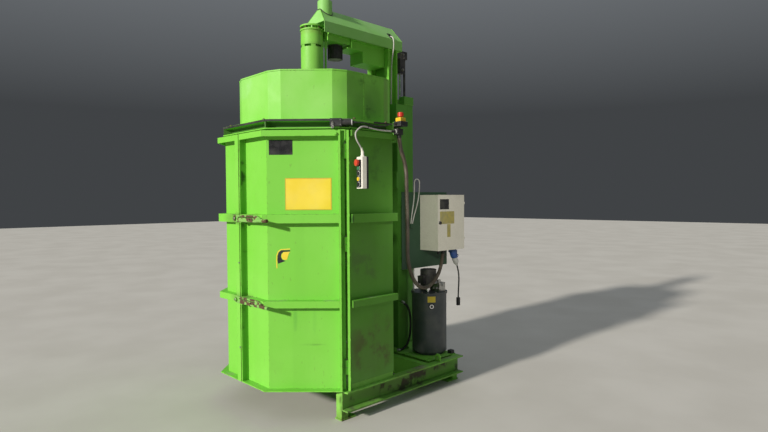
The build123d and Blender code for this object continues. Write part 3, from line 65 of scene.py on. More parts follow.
# Sizes of the chamber that the details below are placed by
CHAMBER_Y = -0.25
CHAMBER_HALF = 0.585
FOLD = math.tan(math.radians(22.5))
FLAT = CHAMBER_HALF * FOLD
DIAGONAL = math.sqrt(0.5)
RING_BOTTOM = 1.712
RING_TOP = 1.762
HINGE_HEIGHTS = (0.32, 1.04, 1.58)
BANDS = ((1.665, 1.7), (1.165, 1.215), (0.673, 0.713))
BAND_OUT = 0.045
RING_OUT = 0.012
DOOR_FACE_Y = -0.835
HINGE_ALONG = 0.0275
HINGE_OUT = 0.011
HOPPER_Y = -0.275
HOPPER_REAR = 0.1887
BASE_TOP = 1.768
ROOF_EAVE = 2.487
ROOF_HALF = 0.115
ROOF_RISE = 0.123
ROOF_SLOPE = ROOF_RISE / ROOF_HALF
ROOF_RIDGE = ROOF_EAVE + ROOF_RISE
ROOF_FRONT = -0.299
ROOF_SET_BACK = 0.049
COWL_Y = -0.205
GUIDE_Y = 0.536
CYLINDER_TOP = 2.02
TANK_X = 0.375
TANK_Y = 0.44
TANK_R = 0.125
LID_TOP = 0.632
SIGHT_TURN = -41.0
SIGHT_Z = 0.539
SIGHT_PROUD = 0.008
CABINET_FACE = 0.492
PLUG_TILT = 25.0
PENDANT_TURN = 10.0
LEVER_FACE = 0.058


def diagonal_place(along, out, z, side=1):
    """Point on a front diagonal face: along it from the side corner, and out. side is -1 on the left."""
    return Vector((side * (CHAMBER_HALF + (out - along) * DIAGONAL),
                   CHAMBER_Y - FLAT - (along + out) * DIAGONAL, z))


def add_face_weld(mesh, side, start, end, radius):
    """Adds a weld bead between two places on a front diagonal face."""
    add_weld(mesh, diagonal_place(*start, side), diagonal_place(*end, side), radius)


def axes(origin, normal, up=(0, 0, 1)):
    """Matrix of a local frame: z along the normal, y as near to up as it can be."""
    z_axis = Vector(normal).normalized()
    x_axis = Vector(up).cross(z_axis).normalized()
    y_axis = z_axis.cross(x_axis)
    matrix = Matrix((x_axis, y_axis, z_axis)).transposed().to_4x4()
    matrix.translation = Vector(origin)
    return matrix


FACE_DIAGONAL = Vector((DIAGONAL, -DIAGONAL, 0))
FACE_FRONT = Vector((0, -1, 0))
FACE_RIGHT = Vector((1, 0, 0))


def at(x, y, z):
    """Upright frame at a point."""
    return Matrix.Translation((x, y, z))


def placed(name, data):
    """New object in the scene from its data."""
    made = bpy.data.objects.new(name, data)
    bpy.context.scene.collection.objects.link(made)
    return made


def add_camera():
    data = bpy.data.cameras.new("photo_camera")
    data.sensor_width = 36
    data.lens = FOCAL_PX / IMAGE_WIDTH * data.sensor_width
    data.clip_end = 100
    camera = placed("photo_camera", data)
    turn = (Matrix.Rotation(CAMERA_YAW, 4, "Z") @ Matrix.Rotation(math.pi / 2 + CAMERA_PITCH, 4, "X")
            @ Matrix.Rotation(CAMERA_ROLL, 4, "Z"))
    camera.matrix_world = Matrix.Translation(CAMERA_PLACE) @ turn
    bpy.context.scene.camera = camera


def add_light():
    sun = bpy.data.lights.new("sun", "SUN")
    sun.energy = SUN_STRENGTH
    sun.angle = SUN_SIZE
    sun.color = (1.0, 0.96, 0.9)
    lamp = placed("sun", sun)
    flat_part = math.cos(SUN_HEIGHT)
    source = Vector((-math.sin(SUN_SIDE) * flat_part, -math.cos(SUN_SIDE) * flat_part,
                     math.sin(SUN_HEIGHT)))
    lamp.matrix_world = source.to_track_quat("Z", "Y").to_matrix().to_4x4()
    world = bpy.data.worlds.new("studio")
    world.use_nodes = True
    background = world.node_tree.nodes["Background"]
    background.inputs["Color"].default_value = (0.86, 0.93, 1.0, 1)
    place = world.node_tree.nodes.new("ShaderNodeTexCoord")
    split = world.node_tree.nodes.new("ShaderNodeSeparateXYZ")
    rise = world.node_tree.nodes.new("ShaderNodeMapRange")
    world.node_tree.links.new(place.outputs["Generated"], split.inputs[0])
    world.node_tree.links.new(split.outputs["Z"], rise.inputs[0])
    for socket, value in zip(rise.inputs[1:5], (0.15, 0.95, SKY_STRENGTH, SKY_TOP_STRENGTH)):
        socket.default_value = value
    world.node_tree.links.new(rise.outputs[0], background.inputs["Strength"])
    bpy.context.scene.world = world
    fill = bpy.data.lights.new("cabinet_fill", "SPOT")
    fill.energy = FILL_POWER
    fill.spot_size = FILL_CONE
    fill.spot_blend = 0.7
    fill.shadow_soft_size = 0.15
    fill.color = (1.0, 0.97, 0.9)
    lamp = placed("cabinet_fill", fill)
    aim = (FILL_PLACE - FILL_TARGET).to_track_quat("Z", "Y").to_matrix().to_4x4()
    lamp.matrix_world = Matrix.Translation(FILL_PLACE) @ aim
    bpy.context.scene.view_settings.view_transform = "Standard"


class Finish:
    """A procedural material, with short calls for the nodes that it is made of."""

    def __init__(self, name):
        self.material = bpy.data.materials.new(name)
        self.material.use_nodes = True
        self.tree = self.material.node_tree
        self.shader = self.tree.nodes["Principled BSDF"]
        self.place = self.add("TexCoord").outputs["Object"]

    def add(self, kind):
        return self.tree.nodes.new("ShaderNode" + kind)

    def put(self, target, value):
        """Links a socket, or sets a constant."""
        if isinstance(value, bpy.types.NodeSocket):
            self.tree.links.new(value, target)
        elif isinstance(value, (tuple, list)) and len(target.default_value) == 4:
            target.default_value = (*value[:3], 1)
        else:
            target.default_value = value

    def shade(self, **values):
        for name, value in values.items():
            self.put(self.shader.inputs[name.replace("_", " ")], value)
        return self

    def maths(self, operation, first, second=0.0):
        node = self.add("Math")
        node.operation = operation
        self.put(node.inputs[0], first)
        self.put(node.inputs[1], second)
        return node.outputs[0]

    def times(self, first, second):
        return self.maths("MULTIPLY", first, second)

    def steps(self, value, low, high, start=0.0, end=1.0):
        """Value mapped from low..high to start..end, smoothly and clamped."""
        node = self.add("MapRange")
        node.interpolation_type = "SMOOTHSTEP"
        for number, item in enumerate((value, low, high, start, end)):
            self.put(node.inputs[number], item)
        return node.outputs[0]

    def stretched(self, stretch, shift=(0, 0, 0)):
        node = self.add("Mapping")
        self.put(node.inputs["Vector"], self.place)
        node.inputs["Scale"].default_value = stretch
        node.inputs["Location"].default_value = shift
        return node.outputs[0]

    def noise(self, scale, detail=4.0, stretch=(1, 1, 1), shift=(0, 0, 0), rough=0.5):
        node = self.add("TexNoise")
        self.put(node.inputs["Vector"], self.stretched(stretch, shift))
        node.inputs["Scale"].default_value = scale
        node.inputs["Detail"].default_value = detail
        node.inputs["Roughness"].default_value = rough
        return node.outputs["Fac"]

    def mix(self, share, first, second):
        node = self.add("Mix")
        node.data_type = "RGBA"
        self.put(node.inputs[0], share)
        self.put(node.inputs[6], first)
        self.put(node.inputs[7], second)
        return node.outputs[2]

    def spot(self, centre, radii, soft=1.0):
        """Share that is 1 inside an ellipsoid and falls to 0 at its skin."""
        node = self.add("TexGradient")
        node.gradient_type = "SPHERICAL"
        stretch = [1 / radius for radius in radii]
        shift = [-place / radius for place, radius in zip(centre, radii)]
        self.put(node.inputs["Vector"], self.stretched(stretch, shift))
        return self.steps(node.outputs["Fac"], 0.0, soft)

    def height(self, low, high, start=0.0, end=1.0):
        node = self.add("SeparateXYZ")
        self.put(node.inputs[0], self.place)
        return self.steps(node.outputs["Z"], low, high, start, end)

    def facing_up(self, low=0.6, high=0.95):
        geometry = self.add("NewGeometry")
        split = self.add("SeparateXYZ")
        self.put(split.inputs[0], geometry.outputs["Normal"])
        return self.steps(split.outputs["Z"], low, high)

    def edges(self, width):
        """Share that is 1 near the object's sharp edges."""
        bevel = self.add("Bevel")
        bevel.samples = 4
        bevel.inputs["Radius"].default_value = width
        geometry = self.add("NewGeometry")
        product = self.add("VectorMath")
        product.operation = "DOT_PRODUCT"
        self.put(product.inputs[0], bevel.outputs[0])
        self.put(product.inputs[1], geometry.outputs["Normal"])
        return self.steps(product.outputs["Value"], 0.995, 0.9)

    def bump(self, height, strength, distance, under=None):
        node = self.add("Bump")
        node.inputs["Strength"].default_value = strength
        node.inputs["Distance"].default_value = distance
        self.put(node.inputs["Height"], height)
        if under:
            self.put(node.inputs["Normal"], under)
        return node.outputs[0]


RUST = (0.078, 0.04, 0.018)
BROWN_DIRT = (0.11, 0.075, 0.038)
DUST = (0.42, 0.4, 0.3)


def green_paint(name, colour, faded, fade=0.5, dirt=0.25, chips=0.5, streaks=0.2, foot_dirt=0.0, marks=(),
                painted_shade_band=()):
    """Brushed-on machine enamel: faded in clouds, streaked by rain, chipped at edges, dirty on ledges, with
    stains and painted shade.
    """
    finish = Finish(name)
    clouds = finish.steps(finish.noise(2.2, 5), 0.38, 0.68)
    rain = finish.steps(finish.noise(9.0, 3, (1, 1, 0.06)), 0.52, 0.72)
    paint = finish.mix(finish.times(clouds, fade), colour, faded)
    paint = finish.mix(finish.times(rain, streaks), paint, [part * 0.78 for part in colour])
    speckle = finish.steps(finish.noise(55.0, 3, (1, 1, 0.5)), 0.66, 0.74)
    paint = finish.mix(finish.times(speckle, 0.12 + 0.3 * dirt), paint, BROWN_DIRT)
    blotch_noise = finish.steps(finish.noise(6.0, 6, rough=0.62), 0.5, 0.72)
    ledge = finish.times(finish.facing_up(), finish.times(blotch_noise, dirt * 1.6))
    paint = finish.mix(finish.maths("MINIMUM", ledge, 0.85), paint, DUST)
    if foot_dirt:
        low = finish.times(finish.height(0.2, 0.75, 1.0, 0.0), blotch_noise)
        paint = finish.mix(finish.times(low, foot_dirt), paint, BROWN_DIRT)
    # Painted shade: a band of heights, the channel ring's recess under its top flange, darkened to near-black
    # green.
    if painted_shade_band:
        low, high = painted_shade_band
        inside = finish.times(finish.height(low, low + 0.002), finish.height(high - 0.002, high, 1.0, 0.0))
        paint = finish.mix(finish.times(inside, 0.8), paint, (0.03, 0.085, 0.018))
    # Each mark tints an ellipsoid: some are real stains, others are painted shade on faces that fall in
    # shade.
    for centre, radii, stain_and_shade, share in marks:
        spread = finish.times(finish.spot(centre, radii, 0.6), finish.steps(blotch_noise, 0.0, 0.7, 0.35, 1.0))
        paint = finish.mix(finish.times(spread, share), paint, stain_and_shade)
    wear = finish.times(finish.edges(0.004), finish.steps(finish.noise(38.0, 5), 0.5, 0.6))
    wear = finish.times(wear, chips)
    paint = finish.mix(wear, paint, RUST)
    coarse = finish.bump(finish.noise(5.0, 2), 0.25, 0.004)
    fine = finish.bump(finish.noise(150.0, 2, (1, 1, 0.35)), 0.1, 0.0006, coarse)
    rough = finish.steps(finish.noise(14.0, 4), 0.3, 0.7, 0.5, 0.64)
    finish.shade(Base_Color=paint, Roughness=finish.maths("ADD", rough, finish.times(wear, 0.3)),
                 Normal=fine, Specular_IOR_Level=0.35)
    return finish.material


def plain(name, colour, other, rough=0.5, metal=0.0, scale=30.0, bumps=0.05, dust=0.15, coat=0.0):
    """Plastic, rubber or metal with a slight variation of colour, dusty in patches."""
    finish = Finish(name)
    paint = finish.mix(finish.steps(finish.noise(scale, 4), 0.35, 0.7), colour, other)
    blotch_noise = finish.steps(finish.noise(12.0, 5), 0.45, 0.7)
    paint = finish.mix(finish.times(blotch_noise, dust), paint, DUST)
    rubbed = finish.steps(finish.noise(scale * 1.7, 3), 0.3, 0.7, max(rough - 0.08, 0.02),
                          min(rough + 0.08, 1.0))
    finish.shade(Base_Color=paint, Roughness=rubbed,
                 Normal=finish.bump(finish.noise(scale * 6, 2), bumps, 0.0008))
    finish.shade(Metallic=metal, Coat_Weight=coat)
    return finish.material


def rusty(name, paint, share):
    """Rusty steel with remains of paint and rubbed bright edges."""
    finish = Finish(name)
    rust = finish.mix(finish.steps(finish.noise(45.0, 6), 0.3, 0.7), RUST, (0.115, 0.068, 0.028))
    dark = finish.steps(finish.noise(90.0, 3), 0.55, 0.7)
    rust = finish.mix(finish.times(dark, 0.7), rust, (0.03, 0.02, 0.015))
    left = finish.steps(finish.noise(24.0, 5, shift=(3, 1, 2)), 0.62 - share * 0.3, 0.66 - share * 0.3)
    rub = finish.times(finish.edges(0.003), 0.6)
    colour = finish.mix(left, rust, paint)
    colour = finish.mix(rub, colour, (0.2, 0.18, 0.13))
    bumps = finish.bump(finish.noise(120.0, 5), 0.45, 0.0015)
    finish.shade(Base_Color=colour, Roughness=finish.steps(left, 0.0, 1.0, 0.85, 0.5), Normal=bumps)
    return finish.material


GREEN = (0.185, 0.56, 0.05)
PALE_GREEN = (0.265, 0.64, 0.105)
DEEP_GREEN = (0.115, 0.4, 0.045)
SMEAR = (0.03, 0.075, 0.02)

HOPPER_SIDE = 0.49
hopper_marks = (
    # Darker green over the whole right side: painted shade of the side turned away from the light.
    ((HOPPER_SIDE, -0.2, 1.92), (0.03, 0.6, 0.5), (0.125, 0.37, 0.035), 0.9),
    ((HOPPER_SIDE, -0.21, 1.9), (0.05, 0.1, 0.16), SMEAR, 0.75),
    ((HOPPER_SIDE, -0.29, 1.87), (0.05, 0.13, 0.11), SMEAR, 0.7),
    ((HOPPER_SIDE, -0.38, 1.98), (0.05, 0.16, 0.1), SMEAR, 0.45),
    ((HOPPER_SIDE, -0.085, 1.92), (0.05, 0.055, 0.34), (0.15, 0.12, 0.06), 0.85),
    ((-0.153, -0.765, 2.02), (0.16, 0.08, 0.1), (0.33, 0.66, 0.22), 0.8),
)
shell_marks = (
    # Dark green at the front ends of the right-side bands: painted shade.
    *(((0.61, -0.508, band), (0.04, 0.013, 0.06), (0.035, 0.1, 0.02), 0.95)
      for band in (1.19, 0.693, 1.683)),
    ((CHAMBER_HALF, -0.3, 0.4), (0.06, 0.25, 0.24), BROWN_DIRT, 0.55),
    ((CHAMBER_HALF, -0.38, 0.95), (0.06, 0.17, 0.25), (0.09, 0.13, 0.05), 0.5),
    ((CHAMBER_HALF, -0.22, 1.5), (0.06, 0.2, 0.2), SMEAR, 0.4),
)
door_marks = (
    # Near-black green strip down the meeting rib's right side: painted shade.
    ((0.01, -0.8575, 0.95), (0.04, 0.0212, 5.0), (0.018, 0.065, 0.012), 0.95),
    ((-0.05, -0.89, 1.19), (0.17, 0.1, 0.05), (0.06, 0.05, 0.03), 0.9),
    ((0.13, -0.89, 1.2), (0.12, 0.1, 0.035), (0.1, 0.09, 0.04), 0.8),
    ((0.0, -0.89, 0.7), (0.15, 0.1, 0.045), (0.06, 0.05, 0.03), 0.9),
    ((0.15, -0.89, 0.685), (0.1, 0.1, 0.03), (0.09, 0.07, 0.04), 0.7),
    ((0.43, -0.66, 0.45), (0.1, 0.1, 0.008), SMEAR, 0.25),
    ((0.36, -0.73, 0.62), (0.02, 0.02, 0.16), DEEP_GREEN, 0.6),
    ((0.44, -0.65, 0.6), (0.02, 0.02, 0.12), DEEP_GREEN, 0.6),
)
beam_marks = (
    # Dark web of the channel: painted shade in the recess under its top flange, with dirt.
    ((0.557, 0.0, 0.115), (0.04, 1.6, 0.085), (0.022, 0.038, 0.012), 0.95),
    ((0.56, -0.2, 0.12), (0.08, 0.36, 0.055), (0.055, 0.045, 0.022), 0.95),
    ((0.56, 0.25, 0.13), (0.08, 0.3, 0.05), (0.055, 0.045, 0.022), 0.85),
    ((0.6, -0.05, 0.18), (0.06, 0.2, 0.02), BROWN_DIRT, 0.8),
    ((0.54, -0.51, 0.02), (0.08, 0.08, 0.05), RUST, 0.9),
    # Darker along the beam's bottom edge.
    ((0.6, 0.0, 0.064), (0.09, 1.6, 0.02), (0.05, 0.05, 0.03), 0.95),
)
column_marks = (
    ((0.0, -0.317, 2.42), (0.12, 0.12, 0.035), (0.2, 0.13, 0.05), 0.75),
    ((0.0, -0.317, 2.335), (0.12, 0.12, 0.03), (0.05, 0.09, 0.03), 0.6),
)

# Plain looks: the values that plain() takes
PLAIN_LOOKS = {
    "bare_steel": ("ground_steel", (0.52, 0.52, 0.5), (0.4, 0.39, 0.36), 0.35, 1.0, 60, 0.08, 0.1),
    "dark_steel": ("black_steel", (0.022, 0.022, 0.024), (0.05, 0.048, 0.045), 0.5, 0.0, 25, 0.1, 0.12),
    "anthracite_paint": ("anthracite", (0.05, 0.062, 0.066), (0.075, 0.088, 0.09), 0.42,
                         0.0, 7, 0.04, 0.08, 0.1),
    "cabinet_paint": ("cabinet_coat", (0.74, 0.71, 0.6), (0.7, 0.67, 0.56), 0.48, 0.0, 90, 0.12, 0.1),
    "chrome": ("chrome", (0.8, 0.8, 0.8), (0.7, 0.7, 0.7), 0.14, 1.0, 20, 0.02, 0.05),
    "black_plastic": ("black_plastic", (0.016, 0.016, 0.018), (0.028, 0.028, 0.03),
                      0.45, 0.0, 60, 0.1, 0.06),
    "cream_plastic": ("cream_plastic", (0.86, 0.83, 0.72), (0.8, 0.77, 0.66), 0.5, 0.0, 30, 0.05, 0.12),
    "red_plastic": ("red_plastic", (0.62, 0.045, 0.018), (0.5, 0.04, 0.02), 0.35, 0.0, 30, 0.03, 0.08, 0.2),
    "yellow_plastic": ("yellow_plastic", (0.82, 0.56, 0.025), (0.7, 0.46, 0.03), 0.4,
                       0.0, 30, 0.03, 0.1, 0.1),
    "green_plastic": ("green_plastic", (0.02, 0.2, 0.09), (0.03, 0.16, 0.07), 0.35,
                      0.0, 30, 0.03, 0.08, 0.2),
    "blue_plastic": ("blue_plastic", (0.018, 0.07, 0.27), (0.03, 0.09, 0.25), 0.42, 0.0, 30, 0.04, 0.1),
    "grey_plastic": ("grey_plastic", (0.55, 0.55, 0.52), (0.46, 0.46, 0.43), 0.5, 0.0, 30, 0.05, 0.15),
    "pad_plastic": ("pad_plastic", (0.6, 0.6, 0.54), (0.42, 0.4, 0.3), 0.5, 0.0, 20, 0.05, 0.3),
    "conduit_plastic": ("conduit_plastic", (0.105, 0.082, 0.055), (0.07, 0.055, 0.04),
                        0.5, 0.0, 14, 0.05, 0.15),
    "light_cable": ("light_sheath", (0.56, 0.54, 0.5), (0.44, 0.42, 0.38), 0.5, 0.0, 25, 0.04, 0.15),
    "black_rubber": ("black_rubber", (0.012, 0.012, 0.012), (0.022, 0.022, 0.02), 0.6, 0.0, 40, 0.1, 0.06),
    "yellow_sheet": ("yellow_sheet", (0.8, 0.6, 0.03), (0.86, 0.67, 0.07), 0.4, 0.0, 5, 0.02, 0.06, 0.2),
    "sheet_rule": ("sheet_rule", (0.62, 0.4, 0.02), (0.55, 0.36, 0.03), 0.5, 0.0, 60, 0.02, 0.06),
    "dark_sheet": ("dark_sheet", (0.014, 0.014, 0.016), (0.022, 0.022, 0.024), 0.3,
                   0.0, 20, 0.02, 0.08, 0.3),
    "glass": ("sight_glass", (0.02, 0.03, 0.03), (0.05, 0.05, 0.04), 0.08, 0.0, 20, 0.0, 0.02, 0.6),
    "greasy_steel": ("greasy_steel", (0.34, 0.33, 0.3), (0.16, 0.14, 0.11), 0.42, 0.8, 60, 0.1, 0.2),
    "worn_sheet": ("worn_sheet", (0.45, 0.38, 0.1), (0.34, 0.31, 0.12), 0.5, 0.0, 40, 0.02, 0.2),
    "clear_tube": ("clear_tube", (0.62, 0.64, 0.58), (0.5, 0.5, 0.44), 0.35, 0.0, 30, 0.02, 0.1),
}
MATERIALS = {
    "green_paint": green_paint("green_enamel", GREEN, PALE_GREEN),
    "hopper": green_paint("hopper_enamel_with_painted_shade", (0.21, 0.585, 0.065), (0.3, 0.66, 0.14), 0.8, 0.3, 0.5, 0.12,
                          marks=hopper_marks),
    # Darker green than the doors: painted shade on the shell's shaded right side.
    "shell": green_paint("shell_enamel_painted_shade", (0.12, 0.37, 0.033), (0.145, 0.36, 0.065), 0.5, 0.3, 0.6,
                         0.2, 0.5, shell_marks),
    "doors": green_paint("door_enamel_with_painted_shade", GREEN, (0.225, 0.6, 0.075), 0.6, 0.3, 0.8, 0.15, 0.08, door_marks),
    "mast": green_paint("mast_enamel", GREEN, (0.23, 0.6, 0.08), 0.4, 0.25, 0.5, 0.3),
    # Darker greens for the guide and the mounting plate: painted shade.
    "mast_shaded": green_paint("guide_enamel_painted_shade", (0.1, 0.33, 0.035), (0.13, 0.38, 0.05),
                               0.4, 0.4, 0.6, 0.4, 0.5),
    "plate_shaded": green_paint("plate_enamel_painted_shade", (0.03, 0.075, 0.04), (0.045, 0.1, 0.05),
                                0.4, 0.4, 0.4, 0.4, 0.3),
    # Paler green than the rest: painted skylight on the roof's upward faces.
    "roof": green_paint("roof_enamel_painted_light", (0.23, 0.56, 0.11), (0.31, 0.62, 0.2), 0.8, 0.35, 0.4, 0.2),
    "housing": green_paint("housing_enamel", GREEN, (0.3, 0.66, 0.12), 0.6, 0.3, 0.8,
                           0.3, marks=column_marks),
    "worn_green_paint": green_paint("base_enamel_with_painted_shade", (0.17, 0.5, 0.045), (0.26, 0.58, 0.1),
                                    0.6, 0.55, 1.0, 0.4, 0.35, beam_marks),
    # The ring's recess between its flanges takes painted shade.
    "ring": green_paint("ring_enamel_painted_shade", GREEN, PALE_GREEN, 0.5, 0.3,
                        painted_shade_band=(RING_BOTTOM + 0.006, RING_TOP - 0.006)),
    "drum": green_paint("drum_enamel", (0.14, 0.36, 0.05), (0.3, 0.28, 0.24), 1.0, 0.5, 1.0, 0.4),
    "rusty_steel": rusty("rusty_steel", GREEN, 0.35),
    "latch": rusty("latch_steel", (0.2, 0.46, 0.09), 0.5),
    "weld": green_paint("weld_enamel", (0.16, 0.5, 0.045), (0.24, 0.56, 0.08), 0.5, 0.5, 0.9, 0.2),
}
MATERIALS.update({slot: plain(*values) for slot, values in PLAIN_LOOKS.items()})
NODE_FINISH = {
    "feed_hopper": "hopper", "chamber_shell": "shell", "door_right": "doors", "door_left": "doors",
    "inner_mast": "mast", "mast_guide": "mast_shaded", "guide_posts": "mast_shaded",
    "mounting_plate": "plate_shaded", "channel_ring": "ring", "roof_cover": "roof",
    "column_housing": "housing",
    "rotor_column": "housing", "packer_drum": "drum", "upper_latch_bar": "latch", "lower_latch_bar": "latch",
}


def dress_nodes():
    """Gives each carried-over node its finish."""
    slots = {row["node"]: row["material_slot"] for row in frame["record"]["subparts"]}
    for name, node in NODES.items():
        node.data.materials.clear()
        node.data.materials.append(MATERIALS[NODE_FINISH.get(name, slots[name])])


def finished(mesh, name, slot, look=None, body="frame", smooth=True):
    """Object from a bmesh, riding on a body and taking its finish from a slot."""
    bmesh.ops.recalc_face_normals(mesh, faces=mesh.faces)
    data = bpy.data.meshes.new(name)
    mesh.to_mesh(data)
    mesh.free()
    data.materials.append(MATERIALS[look or slot])
    piece = placed(name, data)
    if smooth:
        data.shade_smooth()
        data.set_sharp_from_angle(angle=math.radians(35))
    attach(piece, body)
    return piece


def join_rings(mesh, rings, caps=True):
    """Skins rings of corners with faces, and closes both ends."""
    for low, high in zip(rings, rings[1:]):
        for number in range(len(low)):
            after = (number + 1) % len(low)
            mesh.faces.new((low[number], low[after], high[after], high[number]))
    if caps:
        mesh.faces.new(rings[0][::-1])
        mesh.faces.new(rings[-1])


def add_prism(mesh, matrix, outline, depth, chamfer=0.0):
    """Adds a polygon in a frame's xy plane, drawn out along its z, with a chamfered outer edge."""
    levels = [(0.0, 0.0), (depth - chamfer, 0.0),
              (depth, chamfer)] if chamfer else [(0.0, 0.0), (depth, 0.0)]
    centre = Vector((sum(x for x, y in outline) / len(outline),
                     sum(y for x, y in outline) / len(outline), 0))
    rings = []
    for z, inset in levels:
        ring = []
        for x, y in outline:
            point = Vector((x, y, 0))
            reach = (point - centre).length
            point = centre + (point - centre) * (1 - inset / reach)
            ring.append(mesh.verts.new(matrix @ Vector((point.x, point.y, z))))
        rings.append(ring)
    join_rings(mesh, rings)


def rounded(width, height, radius=0.0, steps=4):
    """Outline of a rectangle with rounded corners, centred on the origin."""
    if not radius:
        return [(-width / 2, -height / 2), (width / 2, -height / 2), (width / 2, height / 2),
                (-width / 2, height / 2)]
    points = []
    for number, (x, y) in enumerate(((1, 1), (-1, 1), (-1, -1), (1, -1))):
        for step in range(steps + 1):
            angle = math.pi / 2 * (number + step / steps)
            points.append((x * (width / 2 - radius) + radius * math.cos(angle),
                           y * (height / 2 - radius) + radius * math.sin(angle)))
    return points


def circle(radius, count=24, turn=0.0):
    return [(radius * math.cos(turn + 2 * math.pi * number / count),
             radius * math.sin(turn + 2 * math.pi * number / count)) for number in range(count)]


# Turned profiles of small pieces: radius and height, in millimetres
PROFILE_TABLE = {
    "hinge_cap": ((8.8, 0), (8.8, 2.5), (6.2, 4.6), (2.2, 5.2), (2.2, 8.5), (1.2, 9.8)),
    "post_rivet": ((5.8, 0), (5.8, 1), (4.6, 2.8), (2.2, 3.6)),
    "stud_end": ((7.8, 0), (7.8, 0.8), (6.8, 1.8), (5.8, 2.4)),
    "sight_nut": ((22.8, 0), (22.8, 3.5), (20.5, 5)),
    "sight_glass": ((9.5, 0), (9.5, 1.2), (6, 1.9), (2, 2.2)),
    "tube_nut": ((11, 0), (11, 10), (8.5, 16)),
    "filler_cap": ((14.5, 0), (15, 4), (11, 10), (4.5, 12.5)),
    "valve": ((12, 0), (12, 18), (8.5, 22), (8.5, 36)),
    "stop_screw": ((3, 0), (3, 1), (2, 1.8)),
    "box_screw": ((2.6, 0), (2.6, 0.8), (1.8, 1.6)),
    "stop_top": ((14.8, -0.4), (14.2, 0.6), (10, 1.6), (4, 2.1)),
    "pendant_top": ((16, -0.4), (15.4, 1), (11, 2.4), (4.5, 3.1)),
    "pendant_screw": ((3, 0), (3, 0.6), (2, 1.4)),
    "cover_screw": ((2.8, 0), (2.8, 0.8), (1.8, 1.6)),
    "ferrule_nut": ((11.8, -2), (11.8, 8)),
    "ferrule": ((9.8, 8), (9.8, 14), (9, 14.5), (9, 17), (9.8, 17.5), (9.8, 24), (8.4, 26)),
}
PROFILES = {name: [(radius / 1000, height / 1000) for radius, height in rows]
            for name, rows in PROFILE_TABLE.items()}


def add_turned(mesh, matrix, profile, count=28):
    """Adds a turned piece along a frame's z, from a profile of radius and height."""
    join_rings(mesh, [[mesh.verts.new(matrix @ Vector((x, y, z))) for x, y in circle(radius, count)]
                      for radius, z in profile])


def add_ring(mesh, matrix, inner, outer, depth, count=28):
    """Adds a flat ring in a frame's xy plane, drawn out along its z."""
    rings = [[mesh.verts.new(matrix @ Vector((x, y, z))) for x, y in circle(radius, count)]
             for radius, z in ((inner, 0.0), (outer, 0.0), (outer, depth), (inner, depth))]
    join_rings(mesh, rings + rings[:1], caps=False)


def add_box(mesh, low, high, chamfer=0.0):
    """Adds an upright box between two corners, with its top edges chamfered."""
    centre = ((low[0] + high[0]) / 2, (low[1] + high[1]) / 2, low[2])
    add_prism(mesh, Matrix.Translation(centre), rounded(high[0] - low[0], high[1] - low[1]),
              high[2] - low[2], chamfer)


def add_relief(mesh, point, direction, wide, narrow, length, ridges=4):
    """Adds a tapered strain relief with ridges, from a housing along a cord."""
    profile = []
    for number in range(ridges):
        low = number / ridges
        radius = wide + (narrow - wide) * low
        profile += [(radius, length * low), (radius, length * (low + 0.6 / ridges)),
                    (radius * 0.86, length * (low + 0.65 / ridges)),
                    (radius * 0.86, length * (low + 0.98 / ridges))]
    add_turned(mesh, axes(point, direction, (0.3, 0.2, 0.93)), profile, 16)


def add_bolt(mesh, matrix, radius, washer=True):
    """Hexagon head with a chamfer and the thread's end above it, on a washer."""
    base = matrix.copy()
    if washer:
        add_prism(mesh, base, circle(radius * 1.35, 20), radius * 0.22, radius * 0.06)
        base = base @ at(0, 0, radius * 0.22)
    add_prism(mesh, base, circle(radius, 6, radius * 40), radius * 0.85, radius * 0.12)
    base = base @ at(0, 0, radius * 0.85)
    add_prism(mesh, base, circle(radius * 0.52, 12), radius * 0.35, radius * 0.1)


def add_tube(mesh, points, radius_at, sides=12):
    """Adds a tube round a line of points. radius_at gives the radius at each point's number."""
    rings = []
    before = None
    for number, point in enumerate(points):
        ahead = points[min(number + 1, len(points) - 1)]
        behind = points[max(number - 1, 0)]
        along = (ahead - behind).normalized()
        if before is None:
            side = along.orthogonal().normalized()
        else:
            side = (before - along * before.dot(along)).normalized()
        before = side
        other = along.cross(side)
        radius = radius_at(number)
        rings.append([mesh.verts.new(point + (side * math.cos(2 * math.pi * step / sides)
                                              + other * math.sin(2 * math.pi * step / sides)) * radius)
                      for step in range(sides)])
    join_rings(mesh, rings)


def along_line(points, pitch):
    """Points spaced evenly along a line of points."""
    total = sum((second - first).length for first, second in zip(points, points[1:]))
    count = max(2, round(total / pitch))
    spaced = [points[0].copy()]
    reached = 0.0
    number = 1
    for first, second in zip(points, points[1:]):
        run = (second - first).length
        while number < count and total * number / count <= reached + run:
            spaced.append(first.lerp(second, (total * number / count - reached) / run))
            number += 1
        reached += run
    spaced.append(points[-1].copy())
    return spaced


def add_weld(mesh, start, end, radius=0.0028, pitch=0.004):
    """Weld bead: a thin tube whose radius ripples along its length."""
    start, end = Vector(start), Vector(end)
    count = max(4, round((end - start).length / pitch) * 2)
    points = [start.lerp(end, number / count) for number in range(count + 1)]
    add_tube(mesh, points, lambda number: radius * (1.12 if number % 2 else 0.86), 6)


def nurbs(name, route, resolution):
    """Curve data of a NURBS through control points, with its ends at the end points."""
    data = bpy.data.curves.new(name, "CURVE")
    data.dimensions = "3D"
    spline = data.splines.new("NURBS")
    spline.points.add(len(route) - 1)
    for point, place in zip(spline.points, route):
        point.co = (*place, 1)
    spline.order_u = 3
    spline.use_endpoint_u = True
    spline.resolution_u = resolution
    return data


def curve_mesh(data):
    """Mesh that curve data evaluates to."""
    holder = placed("holder", data)
    bpy.context.view_layer.update()
    mesh = bpy.data.meshes.new_from_object(holder.evaluated_get(bpy.context.evaluated_depsgraph_get()))
    bpy.data.objects.remove(holder)
    return mesh


